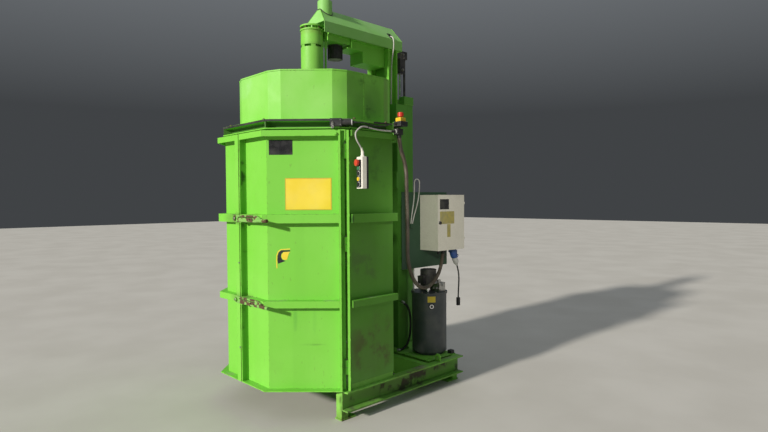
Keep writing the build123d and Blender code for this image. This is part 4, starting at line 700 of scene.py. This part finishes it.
def curve_piece(name, route, radius, body, slot, look=None):
    """Round curve through control points, riding on a body and taking its finish from a slot."""
    data = nurbs(name, route, 10)
    data.bevel_depth = radius
    data.bevel_resolution = 5
    data.use_fill_caps = True
    data.materials.append(MATERIALS[look or slot])
    piece = placed(name, data)
    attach(piece, body)
    return piece


def curve_points(route):
    """Points along the NURBS through a route's control points."""
    mesh = curve_mesh(nurbs("route", route, 16))
    points = [vertex.co.copy() for vertex in mesh.vertices]
    bpy.data.meshes.remove(mesh)
    return points


# Cords: radius and real length in metres, and the route in millimetres, as the solids have them
CORD_TABLE = {
    "pendant_cable": (0.0045, 0.446, [
        (655, -199, 1712), (655.8, -262, 1708.5), (655.5, -335, 1709.5), (654.5, -403, 1717),
        (654, -455, 1723), (655, -503, 1689), (656, -511, 1665), (656, -499, 1634), (655.3, -466, 1598),
        (655, -455, 1573)]),
    "switch_cable": (0.0035, 0.333, [
        (621.77, -500.79, 1742), (641, -481.5, 1742), (656, -456, 1741), (660, -422, 1738),
        (655, -380, 1733), (647, -330, 1732), (646, -275, 1737), (653, -232, 1750), (664, -205, 1757),
        (667, -186, 1758)]),
    "conduit": (0.013, 1.592, [
        (657, -155, 1694), (655, -146, 1622), (640, -100, 1560), (620, -53, 1480), (611, -42, 1370),
        (600, -26, 1220), (583, -5, 1070), (570, 6, 900), (548, 70, 790), (520, 150, 722), (492, 240, 685),
        (465, 330, 682), (443, 412, 706), (430, 480, 752), (425, 522, 826), (425, 540, 906)]),
    "loop_cable": (0.004, 0.682, [
        (331, 296, 1125), (333, 298, 1165), (336, 310, 1230), (340, 321, 1310), (341, 323, 1385),
        (342, 322, 1429.2), (342.5, 337.8, 1445), (343, 360.2, 1445), (343.5, 376, 1429.2),
        (343, 375, 1385), (341, 368, 1310), (336, 348, 1235), (332, 322, 1168), (331, 312, 1125)]),
    "tank_hose": (0.008, 0.431, [
        (219, 312, 548), (246, 322, 536), (268, 336, 500), (276, 345, 440), (276, 347, 370),
        (272, 342, 300), (264, 326, 243), (250, 306, 212), (234, 286, 198), (210, 270, 195)]),
    "power_cord": (0.0055, 0.253, [
        (420, 707.41, 799.62), (420, 716.7, 779.7), (421, 725, 748), (423, 729, 704), (421, 729, 650),
        (418.5, 727, 598), (418, 726, 550)]),
    "mast_cable": (0.0045, 0.666, [
        (50, 342, 2510), (78, 340, 2516), (104, 337, 2512), (126, 334, 2494), (132, 333, 2462),
        (131, 334, 2428), (120, 337, 2388), (105, 340, 2340), (97, 342, 2280), (94.5, 341, 2160),
        (93, 340.5, 2040), (92.5, 340, 1915)]),
}
CORDS = {name: (radius, length, [tuple(round(value / 1000, 6) for value in place) for place in route])
         for name, (radius, length, route) in CORD_TABLE.items()}
CONDUIT_PITCH = 0.0026


def add_cords():
    """Every cord on its own route. The conduit is a ribbed tube and the others are smooth."""
    facts = {
        "pendant_cable": ("frame", "light_cable", "medium", "hanging"),
        "switch_cable": ("frame", "black_rubber", "medium", "loose"),
        "loop_cable": ("frame", "light_cable", "stiff", "loose"),
        "tank_hose": ("frame", "black_rubber", "stiff", "loose"),
        "mast_cable": ("carriage", "light_cable", "medium", "hanging"),
    }
    for name, (body, slot, stiffness, lay) in facts.items():
        radius, length, route = CORDS[name]
        piece = curve_piece(name + "_line", route, radius, body, slot)
        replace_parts(piece, name)
    radius, length, route = CORDS["power_cord"]
    piece = curve_piece("power_cord_line", route, radius, "frame", "black_rubber")
    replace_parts(piece, "power_cord")
    radius, length, route = CORDS["conduit"]
    line = along_line(curve_points(route), CONDUIT_PITCH)
    mesh = bmesh.new()
    add_tube(mesh, line, lambda number: radius * (1.0 if number % 2 else 0.9), 16)
    piece = finished(mesh, "conduit_ribbed", "conduit_plastic")
    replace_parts(piece, "conduit")


def face_frame(along, out, z):
    """Frame on the right front diagonal face."""
    return axes(diagonal_place(along, out, z), FACE_DIAGONAL)


def plate(name, matrix, outline, body, look, slot, depth=0.0008):
    """Flat plate of one outline as a piece of its own."""
    mesh = bmesh.new()
    add_prism(mesh, matrix, outline, depth)
    return finished(mesh, name, slot, look, body, smooth=False)


def holed_plate(name, matrix, outline, holes, depth, body, slot, look=None):
    """Flat plate with round holes, filled between closed curves."""
    data = bpy.data.curves.new(name, "CURVE")
    data.dimensions = "2D"
    data.fill_mode = "BOTH"
    data.extrude = depth / 2
    for loop in [outline] + [[(x + u, y + v) for u, v in circle(radius)] for x, y, radius in holes]:
        spline = data.splines.new("POLY")
        spline.points.add(len(loop) - 1)
        spline.use_cyclic_u = True
        for point, (x, y) in zip(spline.points, loop):
            point.co = (x, y, 0, 1)
    flat_mesh = curve_mesh(data)
    mesh = bmesh.new()
    mesh.from_mesh(flat_mesh)
    bpy.data.meshes.remove(flat_mesh)
    mesh.transform(matrix @ at(0, 0, depth / 2))
    return finished(mesh, name, slot, look, body, smooth=False)


def add_fields():
    """Bare label fields: sheet, plate and torn remnant on the right leaf, and three on the cabinet."""
    sheet = face_frame(0.2425, 0, 1.333)
    plate("sheet_border", sheet, rounded(0.271, 0.186), "door_right", "sheet_rule", "yellow_plastic")
    plate("sheet_field", sheet @ at(0, 0, 0.0008), rounded(0.261, 0.176), "door_right",
          "yellow_sheet", "yellow_plastic", 0.0004)
    plate("dark_field", face_frame(0.4015, 0, 1.605), rounded(0.138, 0.086, 0.003),
          "door_right", "dark_sheet",
          "black_plastic")
    torn = face_frame(0.395, 0, 0.96)
    plate("torn_edge", torn, [
        (-0.039, -0.059), (-0.0405, -0.015), (-0.039, 0.016), (-0.0295, 0.04), (-0.014, 0.0523),
        (0.042, 0.0558), (0.042, 0.05), (-0.011, 0.047), (-0.025, 0.036), (-0.0335, 0.014),
        (-0.035, -0.015), (-0.0335, -0.059)], "door_right", "yellow_sheet", "yellow_plastic", 0.0005)
    plate("torn_band", torn, [
        (-0.0295, -0.033), (-0.033, -0.015), (-0.032, 0.0115), (-0.025, 0.0337), (-0.0094, 0.046),
        (0.042, 0.046), (0.0398, 0.038), (0.0018, 0.0358), (-0.0094, 0.0248), (-0.0125, 0.007),
        (-0.005, -0.0085), (0.0152, -0.0173)], "door_right", "dark_sheet", "black_plastic", 0.0005)
    plate("torn_field", torn @ at(0, 0, 0.0005), [
        (-0.008, 0.0204), (0.0018, 0.0346), (0.042, 0.0372), (0.0353, 0.027), (0.0264, 0.0027),
        (0.0241, -0.0084), (0.0085, -0.0115), (-0.005, -0.004), (-0.0094, 0.0093)],
        "door_right", "yellow_sheet", "yellow_plastic", 0.0004)
    plate("cabinet_dark_field", axes((CABINET_FACE, 0.4765, 1.2625), FACE_RIGHT),
          rounded(0.1, 0.0725, 0.002),
          "cabinet_door", "dark_sheet", "black_plastic")
    plate("cabinet_field", axes((CABINET_FACE, 0.5075, 1.166), FACE_RIGHT), rounded(0.16, 0.09, 0.004),
          "cabinet_door", "worn_sheet", "yellow_plastic", 0.0005)
    plate("cabinet_strip", axes((CABINET_FACE, 0.525, 1.0715), FACE_RIGHT), rounded(0.038, 0.093, 0.003),
          "cabinet_door", "worn_sheet", "yellow_plastic", 0.0005)


def hopper_outline(grow=0.0):
    """Corners of the hopper's plan: an octagon with folded corners, cut short at the rear."""
    half = 0.49 + grow
    corners = [Vector((x, y, 0)) for x, y in circle(half / math.cos(math.pi / 8), 8, math.pi / 8)]
    folded = []
    for number, corner in enumerate(corners):
        for other in (corners[number - 1], corners[(number + 1) % 8]):
            folded.append(corner + (other - corner).normalized() * 0.0495)
    rear = HOPPER_REAR - HOPPER_Y + grow
    points = []
    for number, point in enumerate(folded):
        after = folded[(number + 1) % len(folded)]
        if point.y <= rear:
            points.append(point)
        if (point.y <= rear) != (after.y <= rear):
            points.append(point.lerp(after, (rear - point.y) / (after.y - point.y)))
    return [Vector((point.x, HOPPER_Y + point.y, 0)) for point in points]


def add_hopper_details():
    """Upright seam on the right side, bead round the foot, and hexagon screws on washers in the base."""
    mesh = bmesh.new()
    add_weld(mesh, (0.49, -0.293, 1.768), (0.49, -0.293, 2.066), 0.0022)
    foot = hopper_outline(0.001)
    for first, second in zip(foot, foot[1:] + foot[:1]):
        add_weld(mesh, first + Vector((0, 0, BASE_TOP)), second + Vector((0, 0, BASE_TOP)), 0.0026, 0.008)
    finished(mesh, "hopper_welds", "green_paint", "weld")
    mesh = bmesh.new()
    sides = [(side * 0.571, y) for side in (-1, 1) for y in (-0.4438, -0.1852)]
    ends = [(side * 0.19385, y) for side in (-1, 1) for y in (-0.821, 0.2007)]
    for number, (x, y) in enumerate(sides + ends):
        turned = at(x, y, BASE_TOP) @ Matrix.Rotation(0.7 * number, 4, "Z")
        add_bolt(mesh, turned, 0.0092)
    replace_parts(finished(mesh, "hopper_screws", "rusty_steel"), "hopper_bolts")


def add_door_details():
    """Stitch welds along the bands and ribs, caps and washers on the hinges, rivets on the meeting post."""
    for side, body in ((1, "door_right"), (-1, "door_left")):
        mesh = bmesh.new()
        for low, high in BANDS:
            for along in (0.1, 0.25, 0.4):
                add_face_weld(mesh, side, (along, 0.001, high), (along - 0.035, 0.001, high), 0.0026)
            add_weld(mesh, (side * 0.1, DOOR_FACE_Y - 0.001, high),
                     (side * 0.14, DOOR_FACE_Y - 0.001, high), 0.0026)
            add_face_weld(mesh, side, (0.0625, 0.002, low), (0.0625, 0.043, low), 0.0024)
        for z in (0.26, 0.5, 0.86, 1.1, 1.32, 1.54):
            add_face_weld(mesh, side, (0.0625, 0.001, z), (0.0625, 0.001, z + 0.04), 0.0026)
        for height in HINGE_HEIGHTS:
            add_face_weld(mesh, side, (0.043, 0.0052, height + 0.004),
                          (0.043, 0.0052, height + 0.038), 0.0022)
        finished(mesh, "welds_" + body, "green_paint", "weld", body)
        mesh = bmesh.new()
        for height in HINGE_HEIGHTS:
            add_turned(mesh,
                       at(*diagonal_place(HINGE_ALONG, HINGE_OUT, height + 0.0424, side)),
                       PROFILES["hinge_cap"], 18)
        finished(mesh, "hinge_caps_" + body, "rusty_steel", "greasy_steel", body)
    mesh = bmesh.new()
    for side in (-1, 1):
        for height in HINGE_HEIGHTS:
            add_ring(mesh, at(*diagonal_place(HINGE_ALONG, HINGE_OUT, height - 0.001, side)),
                     0.0053, 0.0102, 0.0012, 20)
            add_face_weld(mesh, side, (0.0125, 0.0052, height - 0.038),
                          (0.0125, 0.0052, height - 0.004), 0.002)
    finished(mesh, "hinge_washers", "bare_steel", "greasy_steel")
    mesh = bmesh.new()
    for x, z in ((-0.0095, 0.918), (-0.0095, 0.397)):
        add_turned(mesh, axes((x, DOOR_FACE_Y - BAND_OUT, z), FACE_FRONT), PROFILES["post_rivet"], 16)
    finished(mesh, "post_rivets", "bare_steel", body="door_left")


def add_corner_bars():
    """Square bar up each front corner post, beside the hinges, with tack welds."""
    for side in (-1, 1):
        mesh = bmesh.new()
        corners = [diagonal_place(along, out, 0, side) for along, out in (
            (0.002, 0.0), (0.0165, 0.0), (0.0165, 0.027), (0.0155, 0.028), (0.003, 0.028), (0.002, 0.027))]
        add_prism(mesh, at(0, 0, 0.1845), [(corner.x, corner.y) for corner in corners], 1.515)
        finished(mesh, "corner_bar", "green_paint", "doors", smooth=False)
        mesh = bmesh.new()
        for height in HINGE_HEIGHTS:
            for z in (height - 0.075, height + 0.06, height + 0.16):
                add_face_weld(mesh, side, (0.002, 0.027, z), (0.002, 0.027, z + 0.016), 0.0022)
        finished(mesh, "corner_welds", "green_paint", "weld")


def add_latch_details():
    """Thread end on each latch stud, and rings and a bead on the grips."""
    for z, body, name in ((1.19, "upper_latch", "upper"), (0.693, "lower_latch", "lower")):
        mesh = bmesh.new()
        grip_z = z - 0.009
        for x in (0.236, 0.244, 0.322, 0.328):
            add_ring(mesh, axes((x, -0.895, grip_z), FACE_RIGHT), 0.01, 0.011, 0.0022, 20)
        add_weld(mesh, (0.232, -0.8845, z - 0.0195), (0.259, -0.8845, z - 0.0195), 0.002)
        finished(mesh, name + "_grip_rings", "rusty_steel", "latch", body)
        mesh = bmesh.new()
        add_turned(mesh, axes((-0.024, -0.9033, z), FACE_FRONT), PROFILES["stud_end"], 16)
        finished(mesh, name + "_stud_end", "rusty_steel", "greasy_steel", "door_left")


def add_ring_details():
    """Fillet welds at the ring's gussets and bracket arm, and a black strip along its top edge as painted
    shade.
    """
    mesh = bmesh.new()
    for side in (-1, 1):
        for z in (RING_BOTTOM + 0.0065, RING_TOP - 0.0065):
            for corner, angle in (((FLAT, -CHAMBER_HALF), 67.5), ((CHAMBER_HALF, -FLAT), 22.5)):
                turn = math.radians(angle)
                outward = Vector((math.cos(turn), -math.sin(turn), 0))
                across = Vector((math.sin(turn), math.cos(turn), 0)) * 0.006
                root = Vector((corner[0], CHAMBER_Y + corner[1], z)) + outward * -0.036
                for shift in (-1, 1):
                    start = root + across * shift
                    end = start + outward * 0.04
                    add_weld(mesh, (side * start.x, start.y, z), (side * end.x, end.y, z), 0.0022)
    add_weld(mesh, (0.598, -0.183, RING_TOP), (0.634, -0.183, RING_TOP), 0.0022)
    finished(mesh, "ring_welds", "green_paint", "weld")
    # Black rubber strip on the top flange's outer edge: a dark sheet standing in for the shade under the
    # flange.
    mesh = bmesh.new()
    reach = (CHAMBER_HALF + RING_OUT) / math.cos(math.pi / 8)
    corners = [Vector((x, CHAMBER_Y + y, 0)) for x, y in circle(reach, 8, math.pi / 8)]
    line = [corners[number] for number in (3, 4, 5, 6, 7, 0)]
    line[0] = line[0].lerp(line[1], 0.2)
    line[-1] = line[-1].lerp(line[-2], 0.2)
    for first, second in zip(line, line[1:]):
        middle = (first + second) / 2 + Vector((0, 0, RING_TOP - 0.0065))
        outward = Vector((middle.x, middle.y - CHAMBER_Y, 0)).normalized()
        add_prism(mesh, axes(middle - outward * 0.001, outward), [
            (-(second - first).length / 2, 0), ((second - first).length / 2, 0),
            ((second - first).length / 2, 0.0118), (-(second - first).length / 2, 0.0118)], 0.0019)
    finished(mesh, "ring_shade_strip", "black_rubber", smooth=False)


def add_arm_details():
    """Seal round the cowl's foot, edging of the cable slot and beads on the roof's gables."""
    mesh = bmesh.new()
    seal = []
    for x, y in circle(0.0512, 40):
        by_side = ROOF_EAVE + (ROOF_HALF - abs(x)) * ROOF_SLOPE
        by_front = ROOF_EAVE + (COWL_Y + y - ROOF_FRONT) * (ROOF_RISE / ROOF_SET_BACK)
        seal.append(Vector((x, COWL_Y + y, min(by_side, by_front) + 0.002)))
    add_tube(mesh, seal + seal[:1], lambda number: 0.0036, 8)
    finished(mesh, "cowl_seal", "black_rubber", body="carriage")
    mesh = bmesh.new()
    slot_centre = (0.087, 0.341, ROOF_EAVE + (ROOF_HALF - 0.087) * ROOF_SLOPE)
    frame_matrix = axes(slot_centre, (ROOF_SLOPE, 0, 1))
    inner = rounded(0.027, 0.052, 0.006)
    outer = rounded(0.04, 0.064, 0.01)
    rings = [[mesh.verts.new(frame_matrix @ Vector((x, y, z))) for x, y in outline]
             for outline, z in ((inner, -0.004), (outer, -0.001), (outer, 0.0022), (inner, 0.003))]
    join_rings(mesh, rings + rings[:1], caps=False)
    finished(mesh, "slot_edging", "black_rubber", body="carriage")
    mesh = bmesh.new()
    for side in (-1, 1):
        add_weld(mesh, (side * (ROOF_HALF - 0.001), 0.4395, ROOF_EAVE),
                 (side * 0.002, 0.4395, ROOF_RIDGE - 0.002), 0.0022)
        add_weld(mesh, (side * (ROOF_HALF - 0.002), ROOF_FRONT, ROOF_EAVE),
                 (side * 0.002, ROOF_FRONT + ROOF_SET_BACK, ROOF_RIDGE - 0.001), 0.0022)
    finished(mesh, "arm_welds", "green_paint", "weld", "carriage")


def add_lift_details():
    """Gland rings on the lifting cylinder, screws on the clevis, beads on the guide caps and mast collars."""
    mesh = bmesh.new()
    centre = at(0, GUIDE_Y, 0)
    add_ring(mesh, centre @ at(0, 0, CYLINDER_TOP), 0.0116, 0.022, 0.006, 24)
    add_ring(mesh, centre @ at(0, 0, CYLINDER_TOP - 0.03), 0.032, 0.0345, 0.022, 32)
    finished(mesh, "cylinder_gland", "bare_steel")
    mesh = bmesh.new()
    for side in (-1, 1):
        for y, z, radius in ((GUIDE_Y, 2.31, 0.01), (GUIDE_Y - 0.012, 2.43, 0.0065),
                             (GUIDE_Y + 0.012, 2.43, 0.0065), (GUIDE_Y + 0.012, 2.405, 0.0065)):
            add_bolt(mesh, axes((side * 0.025, y, z), (side, 0, 0)), radius)
    finished(mesh, "clevis_screws", "dark_steel", "greasy_steel", "carriage")
    mesh = bmesh.new()
    for side in (-1, 1):
        for x in (side * 0.033, side * 0.091):
            add_weld(mesh, (x, GUIDE_Y - 0.048, 2.03), (x, GUIDE_Y + 0.048, 2.03), 0.0022, 0.008)
        add_weld(mesh, (side * 0.035, GUIDE_Y - 0.05, 2.03),
                 (side * 0.089, GUIDE_Y - 0.05, 2.03), 0.0022, 0.008)
    for low, high in ((1.38, 1.5), (1.85, 1.995)):
        for side in (-1, 1):
            for z in (low, high):
                add_weld(mesh, (side * 0.14, 0.2803, z), (side * 0.2, 0.2803, z), 0.0022, 0.008)
    finished(mesh, "mast_welds", "green_paint", "weld")


def add_curved_sheet(mesh, centre, radius, turns, heights, depth=0.0008, steps=8):
    """Adds a thin sheet that lies on an upright cylinder between two angles and two heights."""
    rings = []
    for number in range(steps + 1):
        turn = math.radians(turns[0] + (turns[1] - turns[0]) * number / steps)
        rings.append(
                [mesh.verts.new((centre[0] + reach * math.cos(turn), centre[1] + reach * math.sin(turn), z))
                      for reach, z in ((radius, heights[0]), (radius + depth, heights[0]),
                                       (radius + depth, heights[1]), (radius, heights[1]))])
    join_rings(mesh, rings)


def add_tank_details():
    """Seam, lid screws, sight glass and bare field of the tank, and the fittings on its lid."""
    mesh = bmesh.new()
    for number in range(8):
        turn = math.pi / 4 * (number + 0.4)
        place = at(TANK_X + 0.123 * math.cos(turn), TANK_Y + 0.123 * math.sin(turn), LID_TOP)
        add_bolt(mesh, place @ Matrix.Rotation(number, 4, "Z"), 0.0062)
    finished(mesh, "lid_screws", "bare_steel", "greasy_steel")
    mesh = bmesh.new()
    seam_turn = math.radians(-112)
    seam = (TANK_X + TANK_R * math.cos(seam_turn), TANK_Y + TANK_R * math.sin(seam_turn))
    add_weld(mesh, (*seam, 0.206), (*seam, 0.618), 0.0022)
    finished(mesh, "tank_seam", "anthracite_paint")
    sight_turn = math.radians(SIGHT_TURN)
    outward = Vector((math.cos(sight_turn), math.sin(sight_turn), 0))
    sight = axes(Vector((TANK_X, TANK_Y, SIGHT_Z)) + outward * (TANK_R + SIGHT_PROUD), outward)
    mesh = bmesh.new()
    add_turned(mesh, sight @ at(0, 0, -0.0075), PROFILES["sight_nut"], 6)
    finished(mesh, "sight_surround", "black_plastic")
    mesh = bmesh.new()
    add_ring(mesh, sight @ at(0, 0, -0.0005), 0.0095, 0.015, 0.0025, 28)
    finished(mesh, "sight_ring", "chrome")
    mesh = bmesh.new()
    add_turned(mesh, sight @ at(0, 0, -0.0005), PROFILES["sight_glass"], 24)
    finished(mesh, "sight_glass", "black_plastic", "glass")
    mesh = bmesh.new()
    add_curved_sheet(mesh, (TANK_X, TANK_Y), TANK_R, (-54, -28), (0.567, 0.609))
    finished(mesh, "tank_field", "yellow_plastic", "yellow_sheet", smooth=False)
    mesh = bmesh.new()
    add_tube(mesh, [Vector((0.29, 0.365, z)) for z in (0.632, 0.7, 0.78, 0.845)], lambda number: 0.0065, 14)
    add_turned(mesh, at(0.29, 0.365, LID_TOP), PROFILES["tube_nut"], 6)
    finished(mesh, "filling_tube", "grey_plastic", "clear_tube")
    mesh = bmesh.new()
    add_box(mesh, (0.312, 0.392, 0.682), (0.362, 0.418, 0.742), 0.004)
    add_box(mesh, (0.309, 0.388, 0.684), (0.365, 0.392, 0.74))
    for radius in (0.018, 0.03, 0.042, 0.054):
        add_ring(mesh, at(0.337, 0.475, 0.782), radius - 0.0022, radius, 0.0025, 28)
    for number in range(6):
        turn = Matrix.Rotation(math.pi / 3 * number, 4, "Z") @ at(0.03, 0, 0.782)
        add_prism(mesh, at(0.337, 0.475, 0) @ turn, rounded(0.052, 0.003), 0.0022)
    finished(mesh, "motor_fittings", "dark_steel")
    mesh = bmesh.new()
    add_turned(mesh, at(0.423, 0.372, 0.666), PROFILES["filler_cap"], 28)
    for number in range(12):
        turn = Matrix.Rotation(math.pi / 6 * number, 4, "Z") @ at(0.0152, 0, 0.651)
        add_prism(mesh, at(0.423, 0.372, 0) @ turn, rounded(0.0016, 0.003), 0.014)
    finished(mesh, "cap_grip", "chrome")
    mesh = bmesh.new()
    for x, y, z, normal in ((0.416, 0.447, 0.655, (0, -1, 0)), (0.444, 0.447, 0.655, (0, -1, 0)),
                            (0.466, 0.48, 0.68, (1, 0, 0))):
        add_bolt(mesh, axes((x, y, z), normal), 0.0095)
    add_turned(mesh, axes((0.433, 0.447, 0.695), (0, -1, 0)), PROFILES["valve"], 20)
    finished(mesh, "valve_fittings", "bare_steel")


def add_cabinet_details():
    """Lock ring and hinge screws of the cabinet, gland domes, the socket's catch and the plug's collar."""
    mesh = bmesh.new()
    add_ring(mesh, axes((CABINET_FACE, 0.427, 1.13), FACE_RIGHT), 0.0114, 0.0148, 0.0022, 28)
    finished(mesh, "lock_ring", "chrome", body="cabinet_door")
    mesh = bmesh.new()
    for z in (1.000, 1.26):
        for shift in (0.005, 0.03):
            add_bolt(mesh, axes((0.4525, 0.7045, z - shift), (0, 1, 0)), 0.0028, washer=False)
    finished(mesh, "cabinet_screws", "bare_steel")
    mesh = bmesh.new()
    for y, radius in ((0.485, 0.01), (0.54, 0.017)):
        add_turned(mesh, axes((0.425, y, 0.906), (0, 0, -1), (0, 1, 0)), [
            (radius * 0.98, 0.0), (radius * 0.98, 0.003), (radius * 0.9, 0.006)], 24)
    finished(mesh, "gland_domes", "black_plastic")
    mesh = bmesh.new()
    tilt = Vector((0, math.sin(math.radians(PLUG_TILT)), -math.cos(math.radians(PLUG_TILT))))
    root = Vector((0.42, 0.66, 0.918))
    add_ring(mesh, axes(root + tilt * 0.05, tilt), 0.0262, 0.0285, 0.008, 30)
    add_box(mesh, (0.408, 0.689, 0.885), (0.432, 0.697, 0.915), 0.002)
    finished(mesh, "socket_collar", "blue_plastic")


def add_stop_details():
    """Screws and edge ring of the emergency stop, junction box screws, gland rings and strain reliefs."""
    mesh = bmesh.new()
    for x in (0.6435, 0.6965):
        for y in (-0.1815, -0.1265):
            add_turned(mesh, at(x, y, 1.772), PROFILES["stop_screw"], 12)
    for y in (-0.1955, -0.141):
        for z in (1.6985, 1.7255):
            add_turned(mesh, axes((0.675, y + 0.0125, z), FACE_RIGHT), PROFILES["box_screw"], 12)
    finished(mesh, "stop_screws", "bare_steel", "greasy_steel")
    mesh = bmesh.new()
    add_ring(mesh, at(0.67, -0.154, 1.796), 0.0102, 0.019, 0.0016, 32)
    finished(mesh, "stop_collar", "yellow_plastic")
    mesh = bmesh.new()
    add_turned(mesh, at(0.67, -0.154, 1.829), PROFILES["stop_top"], 32)
    for number in range(24):
        turn = Matrix.Rotation(math.pi / 12 * number, 4, "Z") @ at(0.018, 0, 1.8055)
        add_prism(mesh, at(0.67, -0.154, 0) @ turn, rounded(0.0012, 0.0022), 0.0185)
    finished(mesh, "stop_grip", "red_plastic", body="stop_button")
    mesh = bmesh.new()
    add_relief(mesh, (0.655, -0.1985, 1.712), (0.005, -0.998, -0.055), 0.0088, 0.0056, 0.024)
    add_relief(mesh, (0.667, -0.186, 1.758), (-0.15, -0.98, -0.05), 0.0072, 0.0044, 0.018, 3)
    add_relief(mesh, (0.657, -0.1555, 1.6945), (-0.03, 0.12, -0.99), 0.0165, 0.014, 0.02, 3)
    finished(mesh, "stop_reliefs", "black_rubber")
    mesh = bmesh.new()
    add_ring(mesh, axes((0.655, -0.185, 1.712), FACE_FRONT), 0.0095, 0.0135, 0.0035, 28)
    finished(mesh, "junction_ring", "grey_plastic")


def add_pendant_details():
    """Face plate, bezels, mushroom face, relief, screws and cable tie of the pendant control."""
    turn = math.radians(PENDANT_TURN)
    normal = Vector((-math.sin(turn), -math.cos(turn), 0))
    centre = Vector((0.655, -0.455, 1.362))
    heights = (0.024, 0.055, 0.086, 0.117, 0.148)
    face = axes(centre + normal * 0.0245 + Vector((0, 0, 0.086)), normal)
    holes = [(0, height - 0.086, 0.0118) for height in heights]
    holed_plate("pendant_face", face, rounded(0.048, 0.16, 0.006), holes, 0.0012, "frame", "black_plastic")
    mesh = bmesh.new()
    for height in heights[:-1]:
        place = face @ at(0, height - 0.086, 0.0012)
        add_ring(mesh, place, 0.0115, 0.0138, 0.0022, 28)
    finished(mesh, "pendant_bezels", "grey_plastic")
    mesh = bmesh.new()
    add_turned(mesh, face @ at(0, 0.062, 0.0219), PROFILES["pendant_top"], 32)
    finished(mesh, "pendant_mushroom", "red_plastic", body="pendant_stop")
    mesh = bmesh.new()
    add_relief(mesh, (0.655, -0.455, 1.5725), (0.01, -0.36, 0.93), 0.0082, 0.0054, 0.026)
    finished(mesh, "pendant_relief", "cream_plastic")
    mesh = bmesh.new()
    side = Vector((math.cos(turn), -math.sin(turn), 0))
    for height in (0.012, 0.172):
        for edge in (-1, 1):
            point = centre - normal * 0.0245 + side * (edge * 0.022) + Vector((0, 0, height))
            add_turned(mesh, axes(point, -normal), PROFILES["pendant_screw"], 12)
    finished(mesh, "pendant_screws", "bare_steel", "greasy_steel")
    mesh = bmesh.new()
    add_ring(mesh, axes((0.6548, -0.41, 1.7178), (0.0, -0.99, 0.13)), 0.0043, 0.0062, 0.004, 16)
    add_box(mesh, (0.6525, -0.4145, 1.723), (0.6575, -0.41, 1.7262))
    finished(mesh, "cable_tie", "black_plastic")


def add_switch_details():
    """Cover plate, screws, ribbed gland and light ring of the door switch, and its lever's screws."""
    mesh = bmesh.new()
    cover = face_frame(0.074, 0.052, 1.742)
    add_prism(mesh, cover, rounded(0.062, 0.038, 0.003), 0.0018, 0.0004)
    gland_root = diagonal_place(0.04, 0.032, 1.742)
    gland_along = Vector((DIAGONAL, DIAGONAL, 0))
    for number in range(5):
        place = axes(gland_root + gland_along * (0.006 + 0.009 * number), gland_along)
        add_ring(mesh, place, 0.0168, 0.0182, 0.0045, 26)
    add_relief(mesh, gland_root + gland_along * 0.0598, gland_along, 0.009, 0.0046, 0.022)
    finished(mesh, "switch_cover", "black_plastic")
    mesh = bmesh.new()
    for x in (-0.026, 0.026):
        for y in (-0.014, 0.014):
            add_turned(mesh, cover @ at(x, y, 0.0018), PROFILES["cover_screw"], 12)
    finished(mesh, "switch_screws", "bare_steel")
    mesh = bmesh.new()
    add_ring(mesh, axes(gland_root + gland_along * 0.054, gland_along), 0.015, 0.0178, 0.0055, 28)
    finished(mesh, "switch_ring", "grey_plastic")
    mesh = bmesh.new()
    add_bolt(mesh, face_frame(0.092, LEVER_FACE, 1.74), 0.0042)
    add_bolt(mesh, face_frame(0.092, LEVER_FACE + 0.008, 1.714), 0.0036, washer=False)
    finished(mesh, "lever_screws", "bare_steel", "greasy_steel", "switch_lever")


def add_base_details():
    """Beads at the feet, lugs and cross members, and a black block on the deck's rear edge."""
    mesh = bmesh.new()
    for side in (-1, 1):
        for y in (-0.544, 0.48):
            add_weld(mesh, (side * 0.485, y + 0.03, 0.0125), (side * 0.485, y + 0.1, 0.0125), 0.0026)
        for y in (0.304, 0.316):
            add_weld(mesh, (side * 0.548, y - 0.0005, 0.1765), (side * 0.598, y - 0.0005, 0.1765), 0.0026)
        for y in (0.2, 0.54):
            add_weld(mesh, (side * 0.5475, y, 0.1775), (side * 0.5475, y - 0.06, 0.1775), 0.0024)
    finished(mesh, "base_welds", "worn_green_paint", "weld")
    mesh = bmesh.new()
    add_box(mesh, (0.498, 0.498, 0.185), (0.532, 0.534, 0.208), 0.002)
    finished(mesh, "deck_block", "black_plastic")


def add_hose_ferrules():
    """Crimped ferrules and nuts at the ends of the tank hose."""
    mesh = bmesh.new()
    radius, length, route = CORDS["tank_hose"]
    for end, inward in ((route[0], route[1]), (route[-1], route[-2])):
        start = Vector(end)
        along = (Vector(inward) - start).normalized()
        place = axes(start, along, (0.2, 0.1, 0.97))
        add_turned(mesh, place, PROFILES["ferrule_nut"], 6)
        add_turned(mesh, place, PROFILES["ferrule"], 20)
    finished(mesh, "hose_ferrules", "bare_steel")


def add_floor():
    mesh = bmesh.new()
    reach = 30.0
    bottom = -0.0005
    corners = [mesh.verts.new((x * reach, y * reach, bottom))
               for x, y in ((-1, -1), (1, -1), (1, 1), (-1, 1))]
    mesh.faces.new(corners)
    data = bpy.data.meshes.new("floor")
    mesh.to_mesh(data)
    mesh.free()
    finish = Finish("pale_floor")
    stone = finish.mix(finish.steps(finish.noise(1.3, 6), 0.3, 0.7), (0.58, 0.55, 0.49), (0.64, 0.61, 0.55))
    finish.shade(Base_Color=stone, Roughness=0.8)
    data.materials.append(finish.material)
    floor = placed("floor", data)


add_camera()
add_light()
add_floor()
dress_nodes()
add_cords()
add_fields()
add_hopper_details()
add_door_details()
add_corner_bars()
add_latch_details()
add_ring_details()
add_arm_details()
add_lift_details()
add_tank_details()
add_cabinet_details()
add_stop_details()
add_pendant_details()
add_switch_details()
add_base_details()
add_hose_ferrules()
